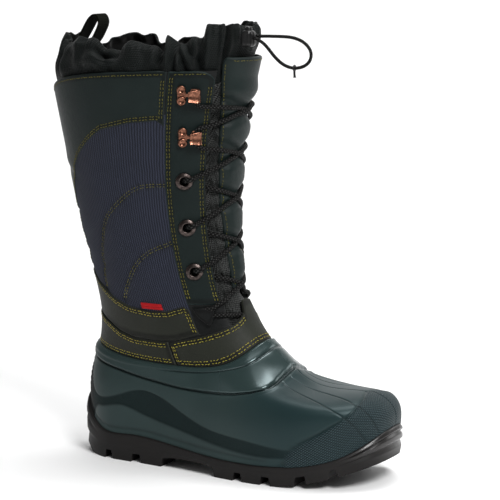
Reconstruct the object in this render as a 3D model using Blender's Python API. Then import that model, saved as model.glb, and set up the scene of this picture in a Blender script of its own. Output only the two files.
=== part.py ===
"""Insulated hunting boot for the right foot, standing empty on its sole.

A lugged outsole carries a moulded galosh; a hollow leather shaft rises out of the galosh, laced
in front over a padded tongue and closed above by a gathered snow cuff with a drawcord.
Metres, +Z up, +X to the toe, +Y to the inner side of the foot, origin on the floor under the heel.

A turn is an angle round the boot in degrees: 0 at the front, 90 at the outer side, 180 at the back,
-90 at the inner side. A height is a distance above the floor.
"""

import math

import bmesh
import bpy
import numpy as np
from mathutils import Matrix, Vector

# Driving sizes
GAP = 0.0003
OVERLAY_GAP = 0.0004
GALOSH_WALL = 0.0035
SHAFT_WALL = 0.0022
SHAFT_TUCK = 0.006
SHAFT_TUCK_IN = 0.003
LEATHER = 0.0012
BAND_LEATHER = 0.0022
TONGUE_THICK = 0.0060
TONGUE_GAP = 0.0014
TONGUE_BULGE = 0.0046
PANEL_GAP = 0.0014
SEAM_LAP = 0.0010
SEAM_GAP = 0.0008
COLLAR_GAP = 0.0006
GAITER_WALL = 0.0012
INSOLE_THICK = 0.0040
LUG_DEPTH = 0.0080
LUG_TAPER = 0.84
ARCH_LIFT = 0.0025
ARCH_TURNS = (60.0, 70.0, 82.0, 91.0)
TOE_RIB_TURNS = (18.0, 26.0)
HEEL_RIB_TURNS = (140.0, 160.0)
BED_INSET = 0.0010
INSOLE_MARGIN = 0.0036
SPRING_START = 0.180
SPRING_SPAN = 0.095
SPRING_RISE = 0.027
SPRING_POWER = 1.4
THROAT_TURN = 33.0
TONGUE_TURN = 42.0
TONGUE_LOW = 0.1290
TONGUE_TOP_GAP = 0.0012
TONGUE_BULGE_TURN = 20.0
TONGUE_BULGE_HEIGHTS = (0.160, 0.188)
FITTING_GAP = 0.0008
LACE_RADIUS = 0.0020
CORD_RADIUS = 0.0015

# Plan of the sole line and its heights: outer side at -Y, inner side at +Y
FOOT_COLUMNS = ("turn", "x", "outer_y", "inner_y", "rim_z", "bed_z")
FOOT = (
    (0, 0.2660, 0.0060, 0.0060, 0.0535, 0.0360),
    (12, 0.2600, -0.0200, 0.0310, 0.0475, 0.0330),
    (24, 0.2350, -0.0430, 0.0500, 0.0300, 0.0255),
    (38, 0.1890, -0.0570, 0.0545, 0.0190, 0.0160),
    (55, 0.1340, -0.0565, 0.0485, 0.0170, 0.0140),
    (78, 0.0790, -0.0480, 0.0395, 0.0205, 0.0175),
    (105, 0.0240, -0.0420, 0.0385, 0.0260, 0.0215),
    (135, -0.0160, -0.0375, 0.0360, 0.0275, 0.0220),
    (160, -0.0405, -0.0210, 0.0210, 0.0460, 0.0220),
    (180, -0.0480, 0.0000, 0.0000, 0.0570, 0.0220),
)

# Rise of the galosh from the sole line to its collar: share of the way in, and height, at three levels
GALOSH_COLUMNS = ("turn", "bulge_in", "bulge_z", "shoulder_in", "shoulder_z", "instep_in", "instep_z", "swell")
GALOSH = (
    (0, 0.005, 0.0670, 0.155, 0.0808, 0.60, 0.0845, 0.000),
    (12, 0.005, 0.0660, 0.140, 0.0788, 0.62, 0.0847, 0.000),
    (24, 0.005, 0.0580, 0.095, 0.0735, 0.61, 0.0855, 0.001),
    (38, 0.010, 0.0480, 0.150, 0.0708, 0.565, 0.0872, 0.002),
    (55, 0.020, 0.0440, 0.240, 0.0660, 0.60, 0.0860, 0.003),
    (78, 0.080, 0.0430, 0.320, 0.0630, 0.65, 0.0810, 0.002),
    (105, 0.100, 0.0450, 0.350, 0.0640, 0.70, 0.0820, 0.002),
    (135, 0.100, 0.0480, 0.350, 0.0680, 0.70, 0.0860, 0.003),
    (160, 0.100, 0.0600, 0.350, 0.0750, 0.70, 0.0900, 0.002),
    (180, 0.100, 0.0660, 0.350, 0.0790, 0.70, 0.0920, 0.002),
)
GALOSH_LEVELS = (0.0, 0.16, 0.36, 0.68, 1.0)
GALOSH_SWELL_SHARE = (0.0, 0.7, 1.0, 0.5, 0.0)

# Steps moulded into the galosh: the toe cap stands out below its line, the instep saddle above its line
TOE_CAP_COLUMNS = ("turn", "level")
TOE_CAP = (
    (0, 0.40),
    (7, 0.366),
    (16, 0.305),
    (22, 0.205),
    (29, 0.14),
    (34, 0.105),
    (38, 0.06),
    (41, -0.10),
)
SADDLE_COLUMNS = ("turn", "level")
SADDLE = (
    (0, 0.83),
    (8, 0.812),
    (15, 0.787),
    (23, 0.75),
    (32, 0.695),
    (38, 0.628),
    (45, 0.56),
    (52, 0.53),
    (59, 0.535),
    (69, 0.56),
    (82, 0.608),
    (95, 0.66),
    (107, 0.69),
    (123, 0.733),
    (157, 0.755),
    (180, 0.755),
)
TOE_CAP_STEP = 0.0010
SADDLE_STEP = 0.0010
STEP_WIDTH = 0.03
SADDLE_FADE = 0.10

# Level sections of the leather shaft
SHAFT_COLUMNS = ("z", "back_x", "front_x", "half_width")
SHAFT = (
    (0.085, -0.0400, 0.1760, 0.0420),
    (0.105, -0.0360, 0.1530, 0.0410),
    (0.130, -0.0335, 0.1310, 0.0405),
    (0.160, -0.0375, 0.1155, 0.0430),
    (0.200, -0.0480, 0.1070, 0.0480),
    (0.245, -0.0595, 0.1045, 0.0530),
    (0.300, -0.0715, 0.1085, 0.0570),
    (0.345, -0.0815, 0.1170, 0.0600),
    (0.410, -0.0950, 0.1330, 0.0630),
)

# Heights of the lines that run right round the boot
LINE_COLUMNS = ("turn", "galosh_collar", "shaft_top")
LINES = (
    (0, 0.1190, 0.3720),
    (29, 0.1130, 0.3715),
    (60, 0.0990, 0.3705),
    (90, 0.0965, 0.3680),
    (120, 0.0985, 0.3630),
    (150, 0.1030, 0.3530),
    (180, 0.1060, 0.3420),
)

# Steps and ribs of the side of the sole: share of the way down, and stand-out at the sides and at toe and heel
# Columns: drop, side_out, rib_out
SOLE_SIDE = (
    (0.00, 0.0003, 0.0003),
    (0.03, 0.0022, 0.0026),
    (0.20, 0.0024, 0.0040),
    (0.30, 0.0024, 0.0014),
    (0.42, 0.0024, 0.0036),
    (0.62, 0.0024, 0.0036),
    (0.72, 0.0022, 0.0014),
    (1.00, 0.0020, 0.0026),
)

# Tread: what stands down between one rung and the next, counted from the toe
TREAD = (
    "block", "block", "block", "groove", "lugs", "groove", "lugs", "groove", "lugs", "groove", "lugs",
    "arch", "arch", "arch", "lugs", "pad", "pad_lugs", "pad", "block", "block", "block",
)
TREAD_SHARES = (0.0, 0.26, 0.42, 0.58, 0.74, 1.0)

# Edges of the leather overlays on the shaft, the same on both sides
QUARTER_COLUMNS = ("turn", "low", "high")
QUARTER = (
    (62, 0.1275, 0.1500),
    (66, 0.1260, 0.1530),
    (80, 0.1205, 0.1475),
    (92, 0.1190, 0.1465),
    (112, 0.1195, 0.1490),
    (125, 0.1235, 0.1550),
    (137, 0.1300, 0.1630),
    (160, 0.1385, 0.1780),
    (180, 0.1410, 0.1795),
)
VAMP_BAND_COLUMNS = ("turn", "high")
VAMP_BAND = (
    (0, 0.1580),
    (8, 0.1570),
    (13, 0.1455),
    (28, 0.1375),
    (42, 0.1325),
    (61, 0.1260),
    (78, 0.1210),
    (86, 0.1175),
)
CUFF_COLUMNS = ("turn", "low")
CUFF = (
    (62, 0.3190),
    (67, 0.3250),
    (84, 0.3220),
    (104, 0.3140),
    (114, 0.3040),
    (129, 0.2870),
    (135, 0.2780),
    (148, 0.2520),
    (157, 0.2340),
    (180, 0.2340),
)
QUARTER_TURN = 62.0
COUNTER_TURN = 86.6
VAMP_TURN = 86.0
VAMP_CORNERS = (-13.0, -8.0, 8.0, 13.0)
CUFF_TURN = 62.6
BACK_STAY_TURN = 157.0
BACK_STAY_LOW = 0.1820
TONGUE_PANEL_COLUMNS = ("z", "half_turn")
TONGUE_PANEL = (
    (0.168, 13.0),
    (0.192, 15.0),
    (0.214, 16.0),
    (0.236, 18.5),
    (0.270, 21.0),
    (0.298, 22.8),
    (0.344, 26.5),
    (0.365, 28.5),
    (0.383, 30.0),
)
EYESTAY_SETBACK = 0.4
EYESTAY_REAR = 62.0
LACE_TAB_TURNS = (42.0, 58.5)
LACE_TAB_HEIGHTS = (0.1350, 0.1525)
TAG_TURNS = (82.0, 98.5)
TAG_HEIGHTS = (0.1482, 0.1540)

# Gathered snow cuff: height of its rim, and the main folds that run down from it
GAITER_COLUMNS = ("turn", "rim_z")
GAITER = (
    (0, 0.4060),
    (12, 0.4085),
    (20, 0.4100),
    (33, 0.4105),
    (43, 0.4100),
    (48, 0.4010),
    (60, 0.3980),
    (68, 0.3920),
    (80, 0.3955),
    (93, 0.3895),
    (105, 0.3970),
    (120, 0.3975),
    (130, 0.3920),
    (138, 0.3870),
    (148, 0.3905),
    (160, 0.3940),
    (180, 0.3955),
)
# Columns: turn, depth, half_turn
FOLDS = (
    (42, 0.0045, 6),
    (67, 0.0040, 7),
    (93, 0.0055, 9),
    (128, 0.0035, 9),
    (160, 0.0030, 10),
    (-40, 0.0045, 6),
    (-66, 0.0040, 7),
    (-95, 0.0055, 9),
    (-128, 0.0030, 9),
    (-160, 0.0030, 10),
)
GAITER_RISE_COLUMNS = ("share", "side_lift", "front_lift", "back_lift")
GAITER_RISE = (
    (0.00, -0.0032, -0.0034, -0.0032),
    (0.30, -0.0030, -0.0034, -0.0036),
    (0.48, -0.0008, -0.0032, -0.0040),
    (0.68, -0.0004, -0.0026, -0.0062),
    (0.86, -0.0030, -0.0050, -0.0115),
    (1.00, -0.0075, -0.0080, -0.0180),
)
GAITER_FRONT_TURNS = (37.0, 54.0)
GAITER_BACK_TURNS = (118.0, 152.0)
GAITER_FRONT_BASE = 0.3760
GAITER_BASE_TURNS = (22.0, 30.0)
GAITER_TUCK = 0.0130
FOLD_SHARES = (0.34, 1.0)

# Lacing: heights of the lace points from the tab up to the top hook
LACE_HEIGHTS = (0.146, 0.186, 0.227, 0.270, 0.311, 0.3495)
EYELET_TURN = 49.0
EYELET_HEIGHTS = LACE_HEIGHTS[1:4]
HOOK_TURNS = (44.0, 47.2)
HOOK_HEIGHTS = LACE_HEIGHTS[4:]
EYELET_HOLE = 0.0052
EYELET_SIDES = 10
HOLE_DEPTH = 0.012
# Columns: radius, height
EYELET_PROFILE = (
    (0.0038, -0.0038),
    (0.0038, 0.0008),
    (0.0050, 0.0019),
    (0.0072, 0.0014),
    (0.0080, 0.0000),
    (0.0048, 0.0000),
    (0.0048, -0.0038),
)
LACE_END_TURN = 30.0
LACE_GAP = 0.0014
LACE_POINTS = 7
LACE_SIDES = 6

# Speed hook: plate behind and in front of its middle, sheet, gap for the lace and lip over it
HOOK_PLATE = 0.0130
HOOK_FRONT = 0.0075
HOOK_HALF = 0.0056
HOOK_SHEET = 0.0011
HOOK_LACE_GAP = 0.0046
HOOK_LIP = 0.0030
HOOK_LIP_RISE = 0.0006
HOOK_BEND_POINTS = 5
RIVET_BACK = 0.0095
RIVET_APART = 0.0100
RIVET_BASE_RADIUS = 0.0043
RIVET_TOP_RADIUS = 0.0026
RIVET_HEIGHT = 0.0022
RIVET_RAISE = 0.0012
RIVET_SIDES = 6

# Drawcord of the snow cuff: its route out of the cord lock and back
CORD_LOCK_CENTRE = (0.1312, -0.0200, 0.4000)
CORD_LOCK_SIZE = (0.0120, 0.0110, 0.0150)
CORD_LOCK_ROUND = 0.0028
BUTTON_RADIUS = 0.0034
BUTTON_SINK = 0.0030
BUTTON_RISE = 0.0035
CORD_PIECE_SIDES = 8
DRAWCORD_ROUTE = (
    (0.1379, -0.0181, 0.4022),
    (0.1479, -0.0185, 0.4025),
    (0.1600, -0.0192, 0.4026),
    (0.1728, -0.0197, 0.4022),
    (0.1819, -0.0200, 0.4002),
    (0.1890, -0.0200, 0.3962),
    (0.1939, -0.0200, 0.3885),
    (0.1920, -0.0200, 0.3808),
    (0.1850, -0.0202, 0.3761),
    (0.1761, -0.0205, 0.3750),
    (0.1662, -0.0208, 0.3782),
    (0.1553, -0.0212, 0.3877),
    (0.1466, -0.0216, 0.3965),
    (0.1379, -0.0219, 0.4010),
)
DRAWCORD_POINTS = 18
CORD_TIE = (
    (0.1777, -0.0204, 0.3728),
    (0.1777, -0.0204, 0.3705),
    (0.1781, -0.0204, 0.3664),
)
CORD_TIE_RADIUS = 0.0013

# Pull loop: a strap that leans forward from the inside of the snow cuff and folds back to it
# Columns: x, z
LOOP_ROUTE = (
    (-0.0735, 0.3740),
    (-0.0668, 0.3865),
    (-0.0592, 0.3975),
    (-0.0528, 0.4075),
    (-0.0476, 0.4148),
    (-0.0415, 0.4183),
    (-0.0372, 0.4155),
    (-0.0358, 0.4095),
    (-0.0388, 0.4020),
    (-0.0445, 0.3930),
    (-0.0540, 0.3840),
    (-0.0665, 0.3752),
)
LOOP_Y = 0.0030
LOOP_WIDTH = 0.0190
LOOP_THICK = 0.0016
LOOP_POINTS = 21

# Turns of the mesh columns, which are also the ends of the lugs
RUNGS = (
    0, 10, 17, 25, 26.5, 33, 35.4, 42.8, 44.9, 51.8, 54,
    63.2, 72, 81, 89.4, 103, 107.6, 125.5, 130.5, 148, 164, 180,
)
COLUMNS = np.array(RUNGS + tuple(-turn for turn in RUNGS[-2:0:-1]), float)
# Mesh rows: levels of the galosh, shares of the snow cuff, and shares of the shaft below and above its throat
GALOSH_ROWS = (0.0, 0.09, 0.19, 0.30, 0.43, 0.60, 0.80, 1.0)
GAITER_ROWS = (0.0, 0.3, 0.5, 0.75, 1.0)
TONGUE_ROWS = 12
PANEL_ROWS = 11
PANEL_COLUMNS = 9
SHAFT_ROWS_BELOW = (0.0, 0.3, 0.62, 1.0)
SHAFT_ROWS_ABOVE = (0.085, 0.17, 0.28, 0.4, 0.55, 0.7, 0.85, 1.0)


def cubic(knots, values, at):
    """Smooth curve through the values at the knots, straight at both ends."""
    knots = np.asarray(knots, float)
    values = np.asarray(values, float)
    at = np.asarray(at, float)
    count = len(knots)
    step = np.diff(knots)
    slope = np.diff(values, axis=0) / step.reshape((-1,) + (1,) * (values.ndim - 1))
    matrix = np.eye(count)
    right = np.zeros_like(values)
    for i in range(1, count - 1):
        matrix[i, i - 1:i + 2] = step[i - 1], 2 * (step[i - 1] + step[i]), step[i]
        right[i] = 6 * (slope[i] - slope[i - 1])
    bend = np.linalg.solve(matrix, right.reshape(count, -1)).reshape(values.shape)
    i = np.clip(np.searchsorted(knots, at, side="right") - 1, 0, count - 2)
    shape = at.shape + (1,) * (values.ndim - 1)
    h = step[i].reshape(shape)
    a = (knots[i + 1] - at).reshape(shape) / h
    b = 1 - a
    return a * values[i] + b * values[i + 1] + ((a ** 3 - a) * bend[i] + (b ** 3 - b) * bend[i + 1]) * h * h / 6


def smooth(value, start, end):
    """Soft step from 0 at start to 1 at end."""
    share = np.clip((np.asarray(value, float) - start) / (end - start), 0, 1)
    return share * share * (3 - 2 * share)


def around(turns, outer, inner, at):
    """Closed smooth curve round the boot through values for its outer and inner sides."""
    turns = np.asarray(turns, float)
    outer = np.asarray(outer, float)
    inner = np.asarray(inner, float)
    loop = np.concatenate([-turns[:0:-1], turns[:-1]])
    values = np.concatenate([inner[:0:-1], outer[:-1]])
    knots = np.concatenate([loop - 360, loop, loop + 360])
    wrapped = (np.asarray(at, float) + 180) % 360 - 180
    return cubic(knots, np.concatenate([values, values, values]), wrapped)


def column(table, columns, name):
    return np.array([row[columns.index(name)] for row in table])


def foot(turn, name):
    """One column of the foot table round the boot."""
    values = column(FOOT, FOOT_COLUMNS, name)
    return around(column(FOOT, FOOT_COLUMNS, "turn"), values, values, turn)


def foot_plan(turn):
    """Plan point of the sole line."""
    turns = column(FOOT, FOOT_COLUMNS, "turn")
    outer = column(FOOT, FOOT_COLUMNS, "outer_y")
    inner = column(FOOT, FOOT_COLUMNS, "inner_y")
    return np.stack([foot(turn, "x"), around(turns, outer, inner, turn)], -1)


def foot_outward(turn):
    """Unit plan direction that points out of the sole line."""
    along = foot_plan(np.asarray(turn, float) + 0.5) - foot_plan(np.asarray(turn, float) - 0.5)
    across = np.stack([-along[..., 1], along[..., 0]], -1)
    return across / np.linalg.norm(across, axis=-1, keepdims=True)


def line(turn, name):
    """Height of a line that runs round the boot."""
    values = column(LINES, LINE_COLUMNS, name)
    return around(column(LINES, LINE_COLUMNS, "turn"), values, values, turn)


def shaft_surface(turn, z):
    """Outside of the leather shaft: an ellipse at every height."""
    turn, z = np.broadcast_arrays(np.asarray(turn, float), np.asarray(z, float))
    sections = np.array([row[1:] for row in SHAFT])
    section = cubic(column(SHAFT, SHAFT_COLUMNS, "z"), sections, z)
    back, front, half = section[..., 0], section[..., 1], section[..., 2]
    angle = np.radians(turn)
    x = (front + back) / 2 + (front - back) / 2 * np.cos(angle)
    return np.stack([x, -half * np.sin(angle), z], -1)


def galosh_surface(turn, level):
    """Outside of the galosh, from the sole line at level 0 to its collar at level 1."""
    turn, level = np.broadcast_arrays(np.asarray(turn, float), np.asarray(level, float))
    base = foot_plan(turn)
    collar = raised(shaft_surface, turn, line(turn, "galosh_collar"), GAP + GALOSH_WALL)
    turns = column(GALOSH, GALOSH_COLUMNS, "turn")
    net = np.array([row[1:] for row in GALOSH])
    row = around(turns, net, net, turn)
    none = np.zeros(turn.shape)
    inward = np.stack([none, row[..., 0], row[..., 2], row[..., 4], none + 1], -1)
    heights = np.stack([foot(turn, "rim_z"), row[..., 1], row[..., 3], row[..., 5], collar[..., 2]], -1)
    weights = cubic(GALOSH_LEVELS, np.eye(len(GALOSH_LEVELS)), level)
    share = np.sum(weights * inward, -1)[..., None]
    cap = smooth(edge(TOE_CAP, TOE_CAP_COLUMNS, "level", turn) - level, 0, STEP_WIDTH)
    saddle = smooth(level - edge(SADDLE, SADDLE_COLUMNS, "level", turn), 0, STEP_WIDTH)
    saddle = saddle * smooth(1 - level, 0, SADDLE_FADE)
    steps = TOE_CAP_STEP * cap + SADDLE_STEP * saddle
    swell = (weights @ np.array(GALOSH_SWELL_SHARE) * row[..., 6])[..., None]
    plan = base + share * (collar[..., :2] - base) + (swell + steps[..., None]) * foot_outward(turn)
    return np.concatenate([plan, (np.sum(weights * heights, -1) + steps * level)[..., None]], -1)


def normal(surface, turn, level, level_step=0.002):
    """Unit direction out of a surface."""
    turn, level = np.broadcast_arrays(np.asarray(turn, float), np.asarray(level, float))
    along = surface(turn + 0.5, level) - surface(turn - 0.5, level)
    up = surface(turn, level + level_step) - surface(turn, level - level_step)
    out = np.cross(up, along)
    return out / np.linalg.norm(out, axis=-1, keepdims=True)


def raised(surface, turn, level, lift):
    """Points a distance outside a surface, or inside it where the distance is negative."""
    turn, level = np.broadcast_arrays(np.asarray(turn, float), np.asarray(level, float))
    lift = np.broadcast_to(np.asarray(lift, float), turn.shape)[..., None]
    return surface(turn, level) + lift * normal(surface, turn, level)


def edge(table, columns, name, turn):
    """Height of an overlay's edge, the same on both sides of the boot."""
    folded = np.abs((np.asarray(turn, float) + 180) % 360 - 180)
    return np.interp(folded, column(table, columns, "turn"), column(table, columns, name))


def ground(x):
    """Height of the lugs: flat under heel and ball, rising to the toe."""
    rise = np.clip((np.asarray(x, float) - SPRING_START) / SPRING_SPAN, 0, None)
    return SPRING_RISE * rise ** SPRING_POWER


def throat_line(turn):
    """Height at which the throat begins, just under the top of the vamp band."""
    return edge(VAMP_BAND, VAMP_BAND_COLUMNS, "high", np.clip(np.abs(turn), 0, THROAT_TURN)) - SEAM_LAP


def front_share(turn):
    """1 over the front of the throat, 0 behind the eyestays."""
    folded = np.abs((np.asarray(turn, float) + 180) % 360 - 180)
    return 1 - smooth(folded, TONGUE_BULGE_TURN, THROAT_TURN)


def tongue_surface(turn, z):
    """Outside of the tongue: behind the eyestays at its sides, bulging out between them."""
    turn, z = np.broadcast_arrays(np.asarray(turn, float), np.asarray(z, float))
    hidden = -(SHAFT_WALL + TONGUE_GAP)
    lift = hidden + TONGUE_BULGE * front_share(turn) * smooth(z, *TONGUE_BULGE_HEIGHTS)
    return raised(shaft_surface, turn, z, lift)


def gaiter_base(turn):
    """Lower edge of the snow cuff: over the tongue in front, tucked into the shaft elsewhere."""
    folded = np.abs((np.asarray(turn, float) + 180) % 360 - 180)
    tucked = line(turn, "shaft_top") - GAITER_TUCK
    return tucked + (GAITER_FRONT_BASE - tucked) * (1 - smooth(folded, *GAITER_BASE_TURNS))


def gaiter_surface(turn, share):
    """Outside of the gathered snow cuff, from its lower edge to its rim."""
    turn, share = np.broadcast_arrays(np.asarray(turn, float), np.asarray(share, float))
    low = gaiter_base(turn)
    rim = edge(GAITER, GAITER_COLUMNS, "rim_z", turn)
    shares = column(GAITER_RISE, GAITER_RISE_COLUMNS, "share")
    lifts = np.array([row[1:] for row in GAITER_RISE])
    lift = cubic(shares, lifts, share)
    folded = np.abs((turn + 180) % 360 - 180)
    front = 1 - smooth(folded, *GAITER_FRONT_TURNS)
    back = smooth(folded, *GAITER_BACK_TURNS)
    out = lift[..., 0] * (1 - front - back) + lift[..., 1] * front + lift[..., 2] * back
    for fold_turn, depth, half_turn in FOLDS:
        away = (turn - fold_turn + 180) % 360 - 180
        out = out - depth * np.exp(-(away / half_turn) ** 2) * smooth(share, *FOLD_SHARES)
    return raised(shaft_surface, turn, low + share * (rim - low), out)


# Mesh helpers


def make_material(name, colour, roughness, metallic=0.0):
    material = bpy.data.materials.new(name)
    material.use_nodes = True
    shader = material.node_tree.nodes["Principled BSDF"]
    shader.inputs["Base Color"].default_value = (*colour, 1.0)
    shader.inputs["Roughness"].default_value = roughness
    shader.inputs["Metallic"].default_value = metallic
    return material


def finish_solid(name, work, material, sharp=40):
    """Object from a finished bmesh, faces pointing out, smooth up to an angle."""
    bmesh.ops.recalc_face_normals(work, faces=work.faces)
    mesh = bpy.data.meshes.new(name)
    work.to_mesh(mesh)
    work.free()
    mesh.shade_smooth()
    mesh.set_sharp_from_angle(angle=math.radians(sharp))
    mesh.materials.append(material)
    solid = bpy.data.objects.new(name, mesh)
    bpy.context.scene.collection.objects.link(solid)
    return solid


def new_solid(name, vertices, faces, material, sharp=40):
    """Object from a closed mesh, faces pointing out, points that no face uses left out."""
    work = bmesh.new()
    points = [work.verts.new(tuple(float(v) for v in point)) for point in vertices]
    for corners in faces:
        work.faces.new([points[i] for i in corners])
    bmesh.ops.delete(work, geom=[v for v in work.verts if not v.link_faces], context="VERTS")
    return finish_solid(name, work, material, sharp)


def shell(name, outside, inside, material, closed, present=None):
    """Solid between two nets of points, with a wall along every open edge."""
    rows, cols = outside.shape[:2]
    count = rows * cols
    faces = []
    edges = set()
    for r in range(rows - 1):
        for c in range(cols if closed else cols - 1):
            if present is not None and not present[r][c]:
                continue
            right = (c + 1) % cols
            quad = (r * cols + c, r * cols + right, (r + 1) * cols + right, (r + 1) * cols + c)
            faces.append(quad)
            faces.append(tuple(count + i for i in reversed(quad)))
            edges.update(zip(quad, quad[1:] + quad[:1]))
    for a, b in sorted(edges):
        if (b, a) not in edges:
            faces.append((b, a, a + count, b + count))
    points = np.concatenate([outside.reshape(-1, 3), inside.reshape(-1, 3)])
    return new_solid(name, points, faces, material)


def columns_between(start, end):
    """Mesh columns from one turn to another, with both ends; turns past 180 are the inner side."""
    every = np.sort(np.concatenate([COLUMNS % 360 - 360, COLUMNS % 360]))
    inner = every[(every > start + 0.9) & (every < end - 0.9)]
    return np.concatenate([[start], inner, [end]])


def rows_between(low, high, rows):
    """Even mesh rows from a lower to an upper edge."""
    return low + np.linspace(0, 1, rows)[:, None] * (high - low)


def overlay(name, turns, z, thick, material):
    """Leather piece lying on the shaft, through rows of heights at each turn."""
    turn = np.broadcast_to(turns, z.shape)
    inside = raised(shaft_surface, turn, z, OVERLAY_GAP)
    outside = raised(shaft_surface, turn, z, OVERLAY_GAP + thick)
    return shell(name, outside, inside, material, closed=False)


def tube(name, points, radius, sides, material):
    """Closed round tube through points."""
    points = [Vector(tuple(p)) for p in points]
    vertices = []
    faces = []
    side = None
    for i, point in enumerate(points):
        ahead = points[min(i + 1, len(points) - 1)] - points[max(i - 1, 0)]
        ahead.normalize()
        side = ahead.orthogonal() if side is None else side - ahead * side.dot(ahead)
        side.normalize()
        other = ahead.cross(side)
        for k in range(sides):
            angle = 2 * math.pi * k / sides
            vertices.append(point + radius * (math.cos(angle) * side + math.sin(angle) * other))
    for i in range(len(points) - 1):
        for k in range(sides):
            n = (k + 1) % sides
            faces.append((i * sides + k, i * sides + n, (i + 1) * sides + n, (i + 1) * sides + k))
    faces.append(tuple(range(sides)))
    faces.append(tuple((len(points) - 1) * sides + k for k in range(sides)))
    return new_solid(name, vertices, faces, material)


def boolean(solid, other, operation):
    """Exact Boolean with another object, which stays as a hidden cutter."""
    modifier = solid.modifiers.new(other.name, "BOOLEAN")
    modifier.object = other
    modifier.operation = operation
    modifier.solver = "EXACT"
    other.hide_render = True
    other.display_type = "WIRE"


def surface_frame(turn, z, lift):
    """Placement on the shaft: X to the front along the surface, Y up, Z out of it."""
    point = raised(shaft_surface, turn, z, lift)
    out = Vector(tuple(normal(shaft_surface, turn, z)))
    front = Vector(tuple(shaft_surface(turn - math.copysign(1.0, turn), z) - shaft_surface(turn, z)))
    front = (front - out * front.dot(out)).normalized()
    up = out.cross(front)
    if up.z < 0:
        up = -up
    frame = Matrix((front, up, out)).transposed().to_4x4()
    frame.translation = Vector(tuple(point))
    return frame


# Sub-parts


def make_outsole(material):
    """Cupped sole with ribbed sides, an arch, toe spring and lugs."""
    turns = COLUMNS
    count = len(turns)
    half = count // 2
    rim = foot(turns, "rim_z") - GAP
    top = raised(galosh_surface, turns, 0.0, -GALOSH_WALL) - np.array([0, 0, GAP])
    bed = top.copy()
    bed[:, :2] -= BED_INSET * foot_outward(turns)
    bed[:, 2] = foot(turns, "bed_z")
    side = np.abs(turns)
    arch = smooth(side, *ARCH_TURNS[:2]) * (1 - smooth(side, *ARCH_TURNS[2:]))
    root = ground(foot_plan(turns)[:, 0]) + LUG_DEPTH + ARCH_LIFT * arch
    rib = np.maximum(1 - smooth(side, *TOE_RIB_TURNS), smooth(side, *HEEL_RIB_TURNS))
    rings = [bed, top]
    for drop, side_out, rib_out in SOLE_SIDE:
        out = side_out + rib * (rib_out - side_out)
        plan = foot_plan(turns) + out[:, None] * foot_outward(turns)
        rings.append(np.column_stack([plan, rim + drop * (root - rim)]))
    vertices = [point for ring in rings for point in ring]
    faces = []
    for r in range(len(rings) - 1):
        for c in range(count):
            n = (c + 1) % count
            faces.append((r * count + c, r * count + n, (r + 1) * count + n, (r + 1) * count + c))
    for c in range(half):
        corners = (c, c + 1, (count - c - 1) % count, (count - c) % count)
        faces.append(tuple(dict.fromkeys(corners)))

    last = (len(rings) - 1) * count
    rungs = []
    for i in range(half + 1):
        outer, inner = last + i, last + (count - i) % count
        if outer == inner:
            rungs.append([outer] * len(TREAD_SHARES))
            continue
        rung = [outer]
        for share in TREAD_SHARES[1:-1]:
            rung.append(len(vertices))
            vertices.append(vertices[outer] + share * (vertices[inner] - vertices[outer]))
        rungs.append(rung + [inner])

    cells = len(TREAD_SHARES) - 1
    lug_cells = {"block": range(cells), "lugs": (0, 2, 4), "pad": (2,), "pad_lugs": (0, 2, 4)}
    down = {}
    for row, kind in enumerate(TREAD):
        for cell in range(cells):
            corners = (rungs[row][cell], rungs[row][cell + 1], rungs[row + 1][cell + 1], rungs[row + 1][cell])
            corners = tuple(dict.fromkeys(corners))
            if cell in lug_cells.get(kind, ()):
                down[(row, cell)] = corners
            elif len(corners) > 2:
                faces.append(corners)
    while down:
        lug_faces = grow_lug(down)
        add_lug(vertices, faces, lug_faces)
    return new_solid("outsole", vertices, faces, material, sharp=30)


def grow_lug(down):
    """Take one group of touching tread cells out of those that stand down."""
    start = next(iter(down))
    group = []
    waiting = [start]
    while waiting:
        row, cell = waiting.pop()
        if (row, cell) not in down:
            continue
        group.append(down.pop((row, cell)))
        waiting += [(row + 1, cell), (row - 1, cell), (row, cell + 1), (row, cell - 1)]
    return [corners for corners in group if len(corners) > 2]


def add_lug(vertices, faces, lug_faces):
    """One lug: its cells brought down to the ground, tapered along the foot, with walls round them."""
    used = sorted({i for corners in lug_faces for i in corners})
    middle = sum(vertices[i][0] for i in used) / len(used)
    lowered = {}
    for i in used:
        point = np.array(vertices[i])
        point[0] = middle + LUG_TAPER * (point[0] - middle)
        point[2] = ground(point[0])
        lowered[i] = len(vertices)
        vertices.append(point)
    edges = set()
    for corners in lug_faces:
        faces.append(tuple(lowered[i] for i in corners))
        edges.update(zip(corners, corners[1:] + corners[:1]))
    for a, b in sorted(edges):
        if (b, a) not in edges:
            faces.append((a, b, lowered[b], lowered[a]))


def make_insole(material):
    """Loose footbed that lies in the cup of the sole."""
    turns = COLUMNS
    count = len(turns)
    half = count // 2
    plan = foot_plan(turns) - (GALOSH_WALL + INSOLE_MARGIN) * foot_outward(turns)
    low = np.column_stack([plan, foot(turns, "bed_z") + GAP])
    high = low + np.array([0, 0, INSOLE_THICK])
    vertices = [point for ring in (low, high) for point in ring]
    faces = []
    for c in range(count):
        n = (c + 1) % count
        faces.append((c, n, count + n, count + c))
    for base in (0, count):
        for c in range(half):
            corners = (c, c + 1, (count - c - 1) % count, (count - c) % count)
            faces.append(tuple(base + i for i in dict.fromkeys(corners)))
    return new_solid("insole", vertices, faces, material)


def make_galosh(material):
    """Moulded foot of the boot: one hollow wall, open at its collar and underneath."""
    levels = np.array(GALOSH_ROWS)[:, None]
    level = np.broadcast_to(levels, (len(levels), len(COLUMNS)))
    outside = galosh_surface(COLUMNS, level)
    inside = raised(galosh_surface, COLUMNS, level, -GALOSH_WALL)
    inside[-1] = raised(shaft_surface, COLUMNS, line(COLUMNS, "galosh_collar"), GAP)
    return shell("galosh", outside, inside, material, closed=True)


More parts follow.
